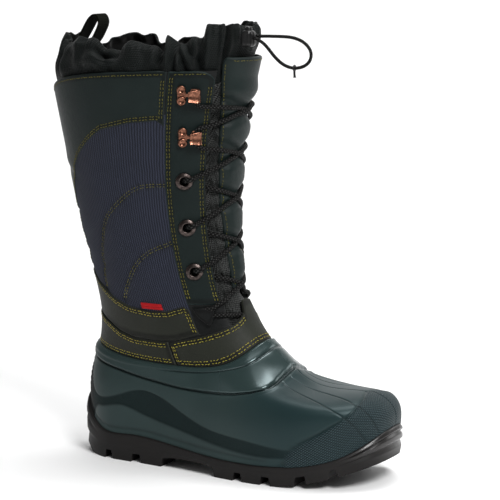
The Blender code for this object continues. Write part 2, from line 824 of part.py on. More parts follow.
def shaft_rows_above(turn):
    """Heights of the shaft's mesh rows above the start of the throat."""
    base = throat_line(turn)
    return [base + share * (line(turn, "shaft_top") - base) for share in SHAFT_ROWS_ABOVE]


def make_shaft(material):
    """Leather shaft: one hollow wall, open at the top, at the throat and underneath."""
    low = line(COLUMNS, "galosh_collar") - SHAFT_TUCK
    base = throat_line(COLUMNS)
    below = [low + share * (base - low) for share in SHAFT_ROWS_BELOW]
    z = np.array(below + shaft_rows_above(COLUMNS))
    after = np.roll(COLUMNS, -1)
    open_front = (np.abs(COLUMNS) <= THROAT_TURN) & (np.abs(after) <= THROAT_TURN)
    present = [[r < len(below) - 1 or not gap for gap in open_front] for r in range(len(z) - 1)]
    pulled_in = np.zeros(z.shape)
    pulled_in[0] = SHAFT_TUCK_IN
    outside = raised(shaft_surface, COLUMNS, z, -pulled_in)
    inside = raised(shaft_surface, COLUMNS, z, -SHAFT_WALL - pulled_in)
    return shell("shaft", outside, inside, material, closed=True, present=present)


def make_tongue(material):
    """Padded tongue behind the laces, with gusset sides that reach behind the eyestays."""
    turns = columns_between(-TONGUE_TURN, TONGUE_TURN)
    low = np.full(turns.shape, TONGUE_LOW)
    high = gaiter_base(turns) - TONGUE_TOP_GAP
    z = rows_between(low, high, TONGUE_ROWS)
    turn = np.broadcast_to(turns, z.shape)
    outside = tongue_surface(turn, z)
    inside = raised(tongue_surface, turn, z, -TONGUE_THICK)
    return shell("tongue", outside, inside, material, closed=False)


def make_tongue_panel(material):
    """Leather face of the tongue, wide at the top and narrower under the laces."""
    heights = column(TONGUE_PANEL, TONGUE_PANEL_COLUMNS, "z")
    z = np.linspace(heights[0], heights[-1], PANEL_ROWS)
    half = cubic(heights, column(TONGUE_PANEL, TONGUE_PANEL_COLUMNS, "half_turn"), z)
    turn = half[:, None] * np.linspace(-1, 1, PANEL_COLUMNS)
    z = np.broadcast_to(z[:, None], turn.shape)
    inside = raised(tongue_surface, turn, z, PANEL_GAP)
    outside = raised(tongue_surface, turn, z, PANEL_GAP + LEATHER)
    return shell("tongue_panel", outside, inside, material, closed=False)


def make_gaiter(material):
    """Gathered snow cuff: a thin ring of cloth with its main folds."""
    shares = np.array(GAITER_ROWS)[:, None]
    share = np.broadcast_to(shares, (len(shares), len(COLUMNS)))
    outside = gaiter_surface(COLUMNS, share)
    inside = raised(gaiter_surface, COLUMNS, share, -GAITER_WALL)
    return shell("gaiter", outside, inside, material, closed=True)


def make_overlays(leather, olive, dark, red):
    """Leather pieces sewn on the shaft."""
    turns = columns_between(QUARTER_TURN, 360 - QUARTER_TURN)
    low = edge(QUARTER, QUARTER_COLUMNS, "low", turns)
    high = edge(QUARTER, QUARTER_COLUMNS, "high", turns)
    overlay("quarter", turns, rows_between(low, high, 3), LEATHER, olive)

    turns = columns_between(COUNTER_TURN, 360 - COUNTER_TURN)
    low = line(turns, "galosh_collar") + COLLAR_GAP
    high = edge(QUARTER, QUARTER_COLUMNS, "low", turns) - SEAM_GAP
    overlay("counter_band", turns, rows_between(low, high, 3), BAND_LEATHER, olive)

    turns = np.sort(np.concatenate([columns_between(-VAMP_TURN, VAMP_TURN), VAMP_CORNERS]))
    low = line(turns, "galosh_collar") + COLLAR_GAP
    high = edge(VAMP_BAND, VAMP_BAND_COLUMNS, "high", turns)
    overlay("vamp_band", turns, rows_between(low, high, 3), BAND_LEATHER, olive)

    turns = columns_between(CUFF_TURN, 360 - CUFF_TURN)
    low = edge(CUFF, CUFF_COLUMNS, "low", turns)
    overlay("cuff_panel", turns, rows_between(low, line(turns, "shaft_top"), 4), LEATHER, leather)

    turns = columns_between(BACK_STAY_TURN, 360 - BACK_STAY_TURN)
    low = np.full(turns.shape, BACK_STAY_LOW)
    high = edge(CUFF, CUFF_COLUMNS, "low", turns) - SEAM_GAP
    overlay("back_stay", turns, rows_between(low, high, 5), LEATHER, leather)

    for side, sign in (("outer", 1), ("inner", -1)):
        turns = sign * columns_between(THROAT_TURN + EYESTAY_SETBACK, EYESTAY_REAR)
        eyestay = overlay(f"eyestay_{side}", turns, np.array(shaft_rows_above(turns)), LEATHER, leather)
        boolean(eyestay, bpy.data.objects[f"eyelet_holes_{side}"], "DIFFERENCE")

        turns = sign * columns_between(*LACE_TAB_TURNS)
        z = np.array([np.full(turns.shape, height) for height in LACE_TAB_HEIGHTS])
        overlay(f"lace_tab_{side}", turns, z, LEATHER, dark)

    turns = columns_between(*TAG_TURNS)
    z = np.array([np.full(turns.shape, height) for height in TAG_HEIGHTS])
    overlay("side_tag", turns, z, LEATHER, red)


def make_eyelet_holes(side, sign, material):
    """Cutter for the three eyelet holes of one side."""
    work = bmesh.new()
    for z in EYELET_HEIGHTS:
        frame = surface_frame(sign * EYELET_TURN, z, 0.0)
        bmesh.ops.create_cone(work, cap_ends=True, segments=EYELET_SIDES, radius1=EYELET_HOLE,
                              radius2=EYELET_HOLE, depth=HOLE_DEPTH, matrix=frame)
    return finish_solid(f"eyelet_holes_{side}", work, material)


def make_eyelet(name, sign, z, material):
    """Turned grommet with a rolled flange and a barrel through the leather."""
    frame = surface_frame(sign * EYELET_TURN, z, OVERLAY_GAP + LEATHER + FITTING_GAP)
    work = bmesh.new()
    loop = [work.verts.new((radius, 0.0, height)) for radius, height in EYELET_PROFILE]
    edges = [work.edges.new((a, b)) for a, b in zip(loop, loop[1:] + loop[:1])]
    bmesh.ops.spin(work, geom=loop + edges, axis=(0, 0, 1), cent=(0, 0, 0), steps=EYELET_SIDES,
                   angle=2 * math.pi, use_duplicate=False)
    bmesh.ops.remove_doubles(work, verts=work.verts, dist=1e-6)
    bmesh.ops.transform(work, matrix=frame, verts=work.verts)
    return finish_solid(name, work, material, sharp=50)


def make_hook(name, turn, z, material):
    """Speed hook: a riveted plate whose front end is bent out and back over the lace."""
    frame = surface_frame(turn, z, OVERLAY_GAP + LEATHER + FITTING_GAP)
    bend = HOOK_LACE_GAP / 2
    centre = HOOK_FRONT - bend
    middle = HOOK_SHEET + bend
    angles = np.linspace(0, math.pi, HOOK_BEND_POINTS)
    inner = [(centre + bend * math.sin(a), middle - bend * math.cos(a)) for a in angles]
    reach = bend + HOOK_SHEET
    outer = [(centre + reach * math.sin(a), middle - reach * math.cos(a)) for a in angles[::-1]]
    lip = HOOK_SHEET + HOOK_LACE_GAP + HOOK_LIP_RISE
    profile = [(-HOOK_PLATE, HOOK_SHEET)] + inner + [(-HOOK_LIP, lip), (-HOOK_LIP, lip + HOOK_SHEET)]
    profile += outer + [(-HOOK_PLATE, 0.0)]
    vertices = [frame @ Vector((f, side, n)) for side in (-HOOK_HALF, HOOK_HALF) for f, n in profile]
    count = len(profile)
    faces = [tuple(range(count)), tuple(count + i for i in range(count))]
    for i in range(count):
        n = (i + 1) % count
        faces.append((i, n, count + n, count + i))
    hook = new_solid(name, vertices, faces, material)
    for k, up in enumerate((-RIVET_APART / 2, RIVET_APART / 2)):
        work = bmesh.new()
        place = frame @ Matrix.Translation((-RIVET_BACK, up, RIVET_RAISE))
        bmesh.ops.create_cone(work, cap_ends=True, segments=RIVET_SIDES, radius1=RIVET_BASE_RADIUS,
                              radius2=RIVET_TOP_RADIUS, depth=RIVET_HEIGHT, matrix=place)
        boolean(hook, finish_solid(f"{name}_rivet_{k + 1}", work, material), "UNION")
    return hook


def make_lace_cross(index, material):
    """Two lace strands that cross over the tongue, joined where they meet."""
    low, high = LACE_HEIGHTS[index], LACE_HEIGHTS[index + 1]
    reach = LACE_END_TURN / EYELET_TURN
    share = np.linspace(-reach, reach, LACE_POINTS)
    z = (low + high) / 2 + share * (high - low) / 2
    lift = PANEL_GAP + LEATHER + LACE_RADIUS + LACE_GAP
    name = f"lace_cross_{index + 1}"
    strands = []
    for sign in (1, -1):
        points = raised(tongue_surface, sign * share * EYELET_TURN, z, lift)
        label = name if sign == 1 else f"{name}_other"
        strands.append(tube(label, points, LACE_RADIUS, LACE_SIDES, material))
    boolean(strands[0], strands[1], "UNION")
    return strands[0]


def make_cord_lock(material):
    """Toggle on the drawcord: a ribbed barrel with a push button on top."""
    work = bmesh.new()
    bmesh.ops.create_cube(work, size=1.0)
    bmesh.ops.scale(work, vec=CORD_LOCK_SIZE, verts=work.verts)
    bmesh.ops.translate(work, vec=CORD_LOCK_CENTRE, verts=work.verts)
    bmesh.ops.bevel(work, geom=work.edges[:], offset=CORD_LOCK_ROUND, segments=2, profile=0.6, affect="EDGES")
    lock = finish_solid("cord_lock", work, material)
    x, y, z = CORD_LOCK_CENTRE
    top = z + CORD_LOCK_SIZE[2] / 2
    ends = [(x, y, top - BUTTON_SINK), (x, y, top + BUTTON_RISE)]
    button = tube("cord_lock_button", ends, BUTTON_RADIUS, CORD_PIECE_SIDES, material)
    boolean(lock, button, "UNION")
    return lock


def make_drawcord(material):
    """Elastic cord: out of the lock, round in a loop and back into it."""
    knots = np.linspace(0, 1, len(DRAWCORD_ROUTE))
    points = cubic(knots, np.array(DRAWCORD_ROUTE), np.linspace(0, 1, DRAWCORD_POINTS))
    curve = bpy.data.curves.new("drawcord", "CURVE")
    curve.dimensions = "3D"
    spline = curve.splines.new("POLY")
    spline.points.add(DRAWCORD_POINTS - 1)
    for point, place in zip(spline.points, points):
        point.co = (*place, 1.0)
    curve.bevel_depth = CORD_RADIUS
    curve.bevel_resolution = 2
    curve.use_fill_caps = True
    curve.materials.append(material)
    cord = bpy.data.objects.new("drawcord", curve)
    bpy.context.scene.collection.objects.link(cord)
    return cord


def make_cord_tie(material):
    """Small tie that hangs under the loop of the drawcord."""
    return tube("cord_tie", CORD_TIE, CORD_TIE_RADIUS, CORD_PIECE_SIDES, material)


def make_pull_loop(material):
    """Webbing strap folded into a loop that stands out of the snow cuff."""
    route = cubic(np.linspace(0, 1, len(LOOP_ROUTE)), np.array(LOOP_ROUTE), np.linspace(0, 1, LOOP_POINTS))
    ahead = np.gradient(route, axis=0)
    ahead /= np.linalg.norm(ahead, axis=1, keepdims=True)
    away = np.stack([-ahead[:, 1], ahead[:, 0]], -1)
    layers = []
    for shift in (0.0, -LOOP_THICK):
        line_xz = route + shift * away
        sides = LOOP_Y + LOOP_WIDTH / 2 * np.array([-1.0, 0.0, 1.0])
        layers.append([[(x, y, z) for y in sides] for x, z in line_xz])
    return shell("pull_loop", np.array(layers[0]), np.array(layers[1]), material, closed=False)


def clear_scene():
    for thing in list(bpy.data.objects):
        bpy.data.objects.remove(thing, do_unlink=True)


def build():
    clear_scene()
    sole_rubber = make_material("sole_rubber", (0.020, 0.020, 0.019), 0.55)
    galosh_rubber = make_material("galosh_rubber", (0.030, 0.045, 0.048), 0.35)
    lining = make_material("insole_felt", (0.050, 0.050, 0.048), 0.95)
    navy_cloth = make_material("navy_cloth", (0.030, 0.033, 0.070), 0.85)
    leather = make_material("green_leather", (0.020, 0.029, 0.027), 0.55)
    olive = make_material("olive_leather", (0.030, 0.032, 0.024), 0.55)
    dark = make_material("black_leather", (0.012, 0.013, 0.012), 0.6)
    cloth = make_material("black_nylon", (0.014, 0.018, 0.017), 0.7)
    webbing = make_material("olive_webbing", (0.045, 0.050, 0.028), 0.9)
    copper = make_material("aged_copper", (0.270, 0.130, 0.090), 0.4, 1.0)
    cord = make_material("black_cord", (0.010, 0.010, 0.010), 0.7)
    plastic = make_material("black_plastic", (0.012, 0.012, 0.012), 0.3)
    red = make_material("red_label", (0.450, 0.020, 0.025), 0.7)

    make_outsole(sole_rubber)
    make_insole(lining)
    make_galosh(galosh_rubber)
    shaft = make_shaft(navy_cloth)
    for side, sign in (("outer", 1), ("inner", -1)):
        boolean(shaft, make_eyelet_holes(side, sign, navy_cloth), "DIFFERENCE")
    make_tongue(cloth)
    make_tongue_panel(leather)
    make_gaiter(cloth)
    make_overlays(leather, olive, dark, red)
    for side, sign in (("outer", 1), ("inner", -1)):
        for k, z in enumerate(EYELET_HEIGHTS):
            make_eyelet(f"eyelet_{side}_{k + 1}", sign, z, copper)
        for k, (turn, z) in enumerate(zip(HOOK_TURNS, HOOK_HEIGHTS)):
            make_hook(f"hook_{side}_{k + 1}", sign * turn, z, copper)
    for index in range(len(LACE_HEIGHTS) - 1):
        make_lace_cross(index, cord)
    make_cord_lock(plastic)
    make_drawcord(cord)
    make_cord_tie(plastic)
    make_pull_loop(webbing)


build()
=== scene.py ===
"""Looks of the hunting boot: finer surfaces, seams, folds and materials over the part's solids.

The surfaces are worked out from the same tables and functions as the part, in metres.
A turn is an angle round the boot in degrees: 0 at the front, 90 at the outer side, 180 at the back,
-90 at the inner side. A lift is a distance outside the leather shaft.
"""

import math

import bmesh
import bpy
import numpy as np
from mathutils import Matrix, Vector


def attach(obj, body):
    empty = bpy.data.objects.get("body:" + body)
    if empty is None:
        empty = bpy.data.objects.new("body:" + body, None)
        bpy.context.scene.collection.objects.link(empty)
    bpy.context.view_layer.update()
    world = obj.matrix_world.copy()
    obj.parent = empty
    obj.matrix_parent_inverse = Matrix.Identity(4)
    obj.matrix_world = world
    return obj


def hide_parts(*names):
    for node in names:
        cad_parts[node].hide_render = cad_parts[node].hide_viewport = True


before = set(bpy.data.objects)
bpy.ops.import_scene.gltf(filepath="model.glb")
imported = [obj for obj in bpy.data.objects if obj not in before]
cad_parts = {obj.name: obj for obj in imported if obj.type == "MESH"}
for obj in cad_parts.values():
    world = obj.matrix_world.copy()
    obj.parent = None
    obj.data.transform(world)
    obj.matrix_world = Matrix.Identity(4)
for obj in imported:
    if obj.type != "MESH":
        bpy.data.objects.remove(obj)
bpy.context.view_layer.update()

# Driving sizes
GAP = 0.0003
OVERLAY_GAP = 0.0004
GALOSH_WALL = 0.0035
SHAFT_WALL = 0.0022
SHAFT_TUCK = 0.006
SHAFT_TUCK_IN = 0.003
LEATHER = 0.0012
BAND_LEATHER = 0.0022
TONGUE_THICK = 0.0060
TONGUE_GAP = 0.0014
TONGUE_BULGE = 0.0046
PANEL_GAP = 0.0014
SEAM_LAP = 0.0010
SEAM_GAP = 0.0008
COLLAR_GAP = 0.0006
INSOLE_THICK = 0.0040
LUG_DEPTH = 0.0080
LUG_TAPER = 0.84
ARCH_LIFT = 0.0025
ARCH_TURNS = (60.0, 70.0, 82.0, 91.0)
TOE_RIB_TURNS = (18.0, 26.0)
HEEL_RIB_TURNS = (140.0, 160.0)
BED_INSET = 0.0010
INSOLE_MARGIN = 0.0036
SPRING_START = 0.180
SPRING_SPAN = 0.095
SPRING_RISE = 0.027
SPRING_POWER = 1.4
THROAT_TURN = 33.0
TONGUE_TURN = 42.0
TONGUE_LOW = 0.1290
TONGUE_TOP_GAP = 0.0012
TONGUE_BULGE_TURN = 20.0
TONGUE_BULGE_HEIGHTS = (0.160, 0.188)
FITTING_GAP = 0.0008
LACE_RADIUS = 0.0020
CORD_RADIUS = 0.0015

# Plan of the sole line and its heights: outer side at -Y, inner side at +Y
FOOT_COLUMNS = ("turn", "x", "outer_y", "inner_y", "rim_z", "bed_z")
FOOT = (
    (0, 0.2660, 0.0060, 0.0060, 0.0535, 0.0360),
    (12, 0.2600, -0.0200, 0.0310, 0.0475, 0.0330),
    (24, 0.2350, -0.0430, 0.0500, 0.0300, 0.0255),
    (38, 0.1890, -0.0570, 0.0545, 0.0190, 0.0160),
    (55, 0.1340, -0.0565, 0.0485, 0.0170, 0.0140),
    (78, 0.0790, -0.0480, 0.0395, 0.0205, 0.0175),
    (105, 0.0240, -0.0420, 0.0385, 0.0260, 0.0215),
    (135, -0.0160, -0.0375, 0.0360, 0.0275, 0.0220),
    (160, -0.0405, -0.0210, 0.0210, 0.0460, 0.0220),
    (180, -0.0480, 0.0000, 0.0000, 0.0570, 0.0220),
)

# Rise of the galosh from the sole line to its collar: share of the way in, and height, at three levels
GALOSH_COLUMNS = (
    "turn", "bulge_in", "bulge_z", "shoulder_in", "shoulder_z", "instep_in", "instep_z", "swell",
)
GALOSH = (
    (0, 0.005, 0.0670, 0.155, 0.0808, 0.60, 0.0845, 0.000),
    (12, 0.005, 0.0660, 0.140, 0.0788, 0.62, 0.0847, 0.000),
    (24, 0.005, 0.0580, 0.095, 0.0735, 0.61, 0.0855, 0.001),
    (38, 0.010, 0.0480, 0.150, 0.0708, 0.565, 0.0872, 0.002),
    (55, 0.020, 0.0440, 0.240, 0.0660, 0.60, 0.0860, 0.003),
    (78, 0.080, 0.0430, 0.320, 0.0630, 0.65, 0.0810, 0.002),
    (105, 0.100, 0.0450, 0.350, 0.0640, 0.70, 0.0820, 0.002),
    (135, 0.100, 0.0480, 0.350, 0.0680, 0.70, 0.0860, 0.003),
    (160, 0.100, 0.0600, 0.350, 0.0750, 0.70, 0.0900, 0.002),
    (180, 0.100, 0.0660, 0.350, 0.0790, 0.70, 0.0920, 0.002),
)
GALOSH_LEVELS = (0.0, 0.16, 0.36, 0.68, 1.0)
GALOSH_SWELL_SHARE = (0.0, 0.7, 1.0, 0.5, 0.0)

# Steps moulded into the galosh: the toe cap stands out below its line, the instep saddle above its line
TOE_CAP_COLUMNS = ("turn", "level")
TOE_CAP = (
    (0, 0.40),
    (7, 0.366),
    (16, 0.305),
    (22, 0.205),
    (29, 0.14),
    (34, 0.105),
    (38, 0.06),
    (41, -0.10),
)
SADDLE_COLUMNS = ("turn", "level")
SADDLE = (
    (0, 0.83),
    (8, 0.812),
    (15, 0.787),
    (23, 0.75),
    (32, 0.695),
    (38, 0.628),
    (45, 0.56),
    (52, 0.53),
    (59, 0.535),
    (69, 0.56),
    (82, 0.608),
    (95, 0.66),
    (107, 0.69),
    (123, 0.733),
    (157, 0.755),
    (180, 0.755),
)
TOE_CAP_STEP = 0.0010
SADDLE_STEP = 0.0010
STEP_WIDTH = 0.03
SADDLE_FADE = 0.10

# Level sections of the leather shaft
SHAFT_COLUMNS = ("z", "back_x", "front_x", "half_width")
SHAFT = (
    (0.085, -0.0400, 0.1760, 0.0420),
    (0.105, -0.0360, 0.1530, 0.0410),
    (0.130, -0.0335, 0.1310, 0.0405),
    (0.160, -0.0375, 0.1155, 0.0430),
    (0.200, -0.0480, 0.1070, 0.0480),
    (0.245, -0.0595, 0.1045, 0.0530),
    (0.300, -0.0715, 0.1085, 0.0570),
    (0.345, -0.0815, 0.1170, 0.0600),
    (0.410, -0.0950, 0.1330, 0.0630),
)

# Heights of the lines that run right round the boot
LINE_COLUMNS = ("turn", "galosh_collar", "shaft_top")
LINES = (
    (0, 0.1190, 0.3720),
    (29, 0.1130, 0.3715),
    (60, 0.0990, 0.3705),
    (90, 0.0965, 0.3680),
    (120, 0.0985, 0.3630),
    (150, 0.1030, 0.3530),
    (180, 0.1060, 0.3420),
)

# Steps and ribs of the side of the sole
# Columns: share of the way down, stand-out at the sides, stand-out at toe and heel
SOLE_SIDE = (
    (0.00, 0.0003, 0.0003),
    (0.03, 0.0022, 0.0026),
    (0.20, 0.0024, 0.0040),
    (0.30, 0.0024, 0.0014),
    (0.42, 0.0024, 0.0036),
    (0.62, 0.0024, 0.0036),
    (0.72, 0.0022, 0.0014),
    (1.00, 0.0020, 0.0026),
)

# Tread: what stands down between one rung and the next, counted from the toe
TREAD = (
    "block", "block", "block", "groove", "lugs", "groove", "lugs", "groove", "lugs", "groove", "lugs",
    "arch", "arch", "arch", "lugs", "pad", "pad_lugs", "pad", "block", "block", "block",
)
TREAD_SHARES = (0.0, 0.26, 0.42, 0.58, 0.74, 1.0)

# Edges of the leather overlays on the shaft, the same on both sides
QUARTER_COLUMNS = ("turn", "low", "high")
QUARTER = (
    (62, 0.1275, 0.1500),
    (66, 0.1260, 0.1530),
    (80, 0.1205, 0.1475),
    (92, 0.1190, 0.1465),
    (112, 0.1195, 0.1490),
    (125, 0.1235, 0.1550),
    (137, 0.1300, 0.1630),
    (160, 0.1385, 0.1780),
    (180, 0.1410, 0.1795),
)
VAMP_BAND_COLUMNS = ("turn", "high")
VAMP_BAND = (
    (0, 0.1580),
    (8, 0.1570),
    (13, 0.1455),
    (28, 0.1375),
    (42, 0.1325),
    (61, 0.1260),
    (78, 0.1210),
    (86, 0.1175),
)
CUFF_COLUMNS = ("turn", "low")
CUFF = (
    (62, 0.3190),
    (67, 0.3250),
    (84, 0.3220),
    (104, 0.3140),
    (114, 0.3040),
    (129, 0.2870),
    (135, 0.2780),
    (148, 0.2520),
    (157, 0.2340),
    (180, 0.2340),
)
QUARTER_TURN = 62.0
COUNTER_TURN = 86.6
VAMP_TURN = 86.0
CUFF_TURN = 62.6
BACK_STAY_TURN = 157.0
BACK_STAY_LOW = 0.1820
TONGUE_PANEL_COLUMNS = ("z", "half_turn")
TONGUE_PANEL = (
    (0.168, 13.0),
    (0.192, 15.0),
    (0.214, 16.0),
    (0.236, 18.5),
    (0.270, 21.0),
    (0.298, 22.8),
    (0.344, 26.5),
    (0.365, 28.5),
    (0.383, 30.0),
)
EYESTAY_SETBACK = 0.4
EYESTAY_REAR = 62.0
EYESTAY_LOW_SHARE = 0.085
LACE_TAB_TURNS = (42.0, 58.5)
LACE_TAB_HEIGHTS = (0.1350, 0.1525)
TAG_TURNS = (82.0, 98.5)
TAG_HEIGHTS = (0.1482, 0.1540)

# Gathered snow cuff: height of its rim, and the main folds that run down from it
GAITER_COLUMNS = ("turn", "rim_z")
GAITER = (
    (0, 0.4060),
    (12, 0.4085),
    (20, 0.4100),
    (33, 0.4105),
    (43, 0.4100),
    (48, 0.4010),
    (60, 0.3980),
    (68, 0.3920),
    (80, 0.3955),
    (93, 0.3895),
    (105, 0.3970),
    (120, 0.3975),
    (130, 0.3920),
    (138, 0.3870),
    (148, 0.3905),
    (160, 0.3940),
    (180, 0.3955),
)
# Columns: turn, depth, half_turn
FOLDS = (
    (42, 0.0045, 6),
    (67, 0.0040, 7),
    (93, 0.0055, 9),
    (128, 0.0035, 9),
    (160, 0.0030, 10),
    (-40, 0.0045, 6),
    (-66, 0.0040, 7),
    (-95, 0.0055, 9),
    (-128, 0.0030, 9),
    (-160, 0.0030, 10),
)
GAITER_RISE_COLUMNS = ("share", "side_lift", "front_lift", "back_lift")
GAITER_RISE = (
    (0.00, -0.0032, -0.0034, -0.0032),
    (0.30, -0.0030, -0.0034, -0.0036),
    (0.48, -0.0008, -0.0032, -0.0040),
    (0.68, -0.0004, -0.0026, -0.0062),
    (0.86, -0.0030, -0.0050, -0.0115),
    (1.00, -0.0075, -0.0080, -0.0180),
)
GAITER_FRONT_TURNS = (37.0, 54.0)
GAITER_BACK_TURNS = (118.0, 152.0)
GAITER_FRONT_BASE = 0.3760
GAITER_BASE_TURNS = (22.0, 30.0)
GAITER_TUCK = 0.0130
FOLD_SHARES = (0.34, 1.0)

# Lacing: heights of the lace points from the tab up to the top hook
LACE_HEIGHTS = (0.146, 0.186, 0.227, 0.270, 0.311, 0.3495)
EYELET_TURN = 49.0
EYELET_HEIGHTS = LACE_HEIGHTS[1:4]
HOOK_TURNS = (44.0, 47.2)
HOOK_HEIGHTS = LACE_HEIGHTS[4:]
EYELET_HOLE = 0.0052

# Speed hook: plate behind and in front of its middle, sheet, gap for the lace and lip over it
HOOK_PLATE = 0.0130
HOOK_FRONT = 0.0075
HOOK_HALF = 0.0056
HOOK_SHEET = 0.0011
HOOK_LACE_GAP = 0.0046
HOOK_LIP = 0.0030
RIVET_BACK = 0.0095
RIVET_APART = 0.0100

# Drawcord of the snow cuff: its route out of the cord lock and back
CORD_LOCK_CENTRE = (0.1312, -0.0200, 0.4000)
CORD_LOCK_SIZE = (0.0120, 0.0110, 0.0150)
BUTTON_SINK = 0.0030
# Columns: radius, height
BUTTON = (
    (0.0034, -BUTTON_SINK), (0.0034, 0.0020), (0.0031, 0.0028), (0.0024, 0.0033), (0.0012, 0.0035),
    (0.0, 0.0035),
)
DRAWCORD_ROUTE = (
    (0.1379, -0.0181, 0.4022),
    (0.1479, -0.0185, 0.4025),
    (0.1600, -0.0192, 0.4026),
    (0.1728, -0.0197, 0.4022),
    (0.1819, -0.0200, 0.4002),
    (0.1890, -0.0200, 0.3962),
    (0.1939, -0.0200, 0.3885),
    (0.1920, -0.0200, 0.3808),
    (0.1850, -0.0202, 0.3761),
    (0.1761, -0.0205, 0.3750),
    (0.1662, -0.0208, 0.3782),
    (0.1553, -0.0212, 0.3877),
    (0.1466, -0.0216, 0.3965),
    (0.1379, -0.0219, 0.4010),
)
CORD_TIE = (
    (0.1777, -0.0204, 0.3728),
    (0.1777, -0.0204, 0.3705),
    (0.1781, -0.0204, 0.3664),
)
CORD_TIE_RADIUS = 0.0013

# Pull loop: a strap that leans forward from the inside of the snow cuff and folds back to it
# Columns: x, z
LOOP_ROUTE = (
    (-0.0735, 0.3740),
    (-0.0668, 0.3865),
    (-0.0592, 0.3975),
    (-0.0528, 0.4075),
    (-0.0476, 0.4148),
    (-0.0415, 0.4183),
    (-0.0372, 0.4155),
    (-0.0358, 0.4095),
    (-0.0388, 0.4020),
    (-0.0445, 0.3930),
    (-0.0540, 0.3840),
    (-0.0665, 0.3752),
)
LOOP_Y = 0.0030
LOOP_WIDTH = 0.0190
LOOP_THICK = 0.0016

# Turns at which the lugs of the sole begin and end
RUNGS = (
    0, 10, 17, 25, 26.5, 33, 35.4, 42.8, 44.9, 51.8, 54,
    63.2, 72, 81, 89.4, 103, 107.6, 125.5, 130.5, 148, 164, 180,
)


def cubic(knots, values, at):
    """Smooth curve through the values at the knots, straight at both ends."""
    knots = np.asarray(knots, float)
    values = np.asarray(values, float)
    at = np.asarray(at, float)
    count = len(knots)
    step = np.diff(knots)
    slope = np.diff(values, axis=0) / step.reshape((-1,) + (1,) * (values.ndim - 1))
    matrix = np.eye(count)
    right = np.zeros_like(values)
    for i in range(1, count - 1):
        matrix[i, i - 1:i + 2] = step[i - 1], 2 * (step[i - 1] + step[i]), step[i]
        right[i] = 6 * (slope[i] - slope[i - 1])
    bend = np.linalg.solve(matrix, right.reshape(count, -1)).reshape(values.shape)
    i = np.clip(np.searchsorted(knots, at, side="right") - 1, 0, count - 2)
    shape = at.shape + (1,) * (values.ndim - 1)
    h = step[i].reshape(shape)
    a = (knots[i + 1] - at).reshape(shape) / h
    b = 1 - a
    bowed = (a ** 3 - a) * bend[i] + (b ** 3 - b) * bend[i + 1]
    return a * values[i] + b * values[i + 1] + bowed * h * h / 6


def smooth(value, start, end):
    """Soft step from 0 at start to 1 at end."""
    share = np.clip((np.asarray(value, float) - start) / (end - start), 0, 1)
    return share * share * (3 - 2 * share)


def folded(turn):
    """Turn without its side: 0 at the front to 180 at the back."""
    return np.abs((np.asarray(turn, float) + 180) % 360 - 180)


def around(turns, outer, inner, at):
    """Closed smooth curve round the boot through values for its outer and inner sides."""
    turns = np.asarray(turns, float)
    outer = np.asarray(outer, float)
    inner = np.asarray(inner, float)
    loop = np.concatenate([-turns[:0:-1], turns[:-1]])
    values = np.concatenate([inner[:0:-1], outer[:-1]])
    knots = np.concatenate([loop - 360, loop, loop + 360])
    wrapped = (np.asarray(at, float) + 180) % 360 - 180
    return cubic(knots, np.concatenate([values, values, values]), wrapped)


def column(table, columns, name):
    """One named column of a table."""
    return np.array([row[columns.index(name)] for row in table])


def foot(turn, name):
    """One column of the foot table round the boot."""
    values = column(FOOT, FOOT_COLUMNS, name)
    return around(column(FOOT, FOOT_COLUMNS, "turn"), values, values, turn)


def foot_plan(turn):
    """Plan point of the sole line."""
    turns = column(FOOT, FOOT_COLUMNS, "turn")
    outer = column(FOOT, FOOT_COLUMNS, "outer_y")
    inner = column(FOOT, FOOT_COLUMNS, "inner_y")
    return np.stack([foot(turn, "x"), around(turns, outer, inner, turn)], -1)


def foot_outward(turn):
    """Unit plan direction that points out of the sole line."""
    along = foot_plan(np.asarray(turn, float) + 0.5) - foot_plan(np.asarray(turn, float) - 0.5)
    across = np.stack([-along[..., 1], along[..., 0]], -1)
    return across / np.linalg.norm(across, axis=-1, keepdims=True)


def line(turn, name):
    """Height of a line that runs round the boot."""
    values = column(LINES, LINE_COLUMNS, name)
    return around(column(LINES, LINE_COLUMNS, "turn"), values, values, turn)


def shaft_surface(turn, z):
    """Outside of the leather shaft: an ellipse at every height."""
    turn, z = np.broadcast_arrays(np.asarray(turn, float), np.asarray(z, float))
    sections = np.array([row[1:] for row in SHAFT])
    section = cubic(column(SHAFT, SHAFT_COLUMNS, "z"), sections, z)
    back, front, half = section[..., 0], section[..., 1], section[..., 2]
    angle = np.radians(turn)
    x = (front + back) / 2 + (front - back) / 2 * np.cos(angle)
    return np.stack([x, -half * np.sin(angle), z], -1)


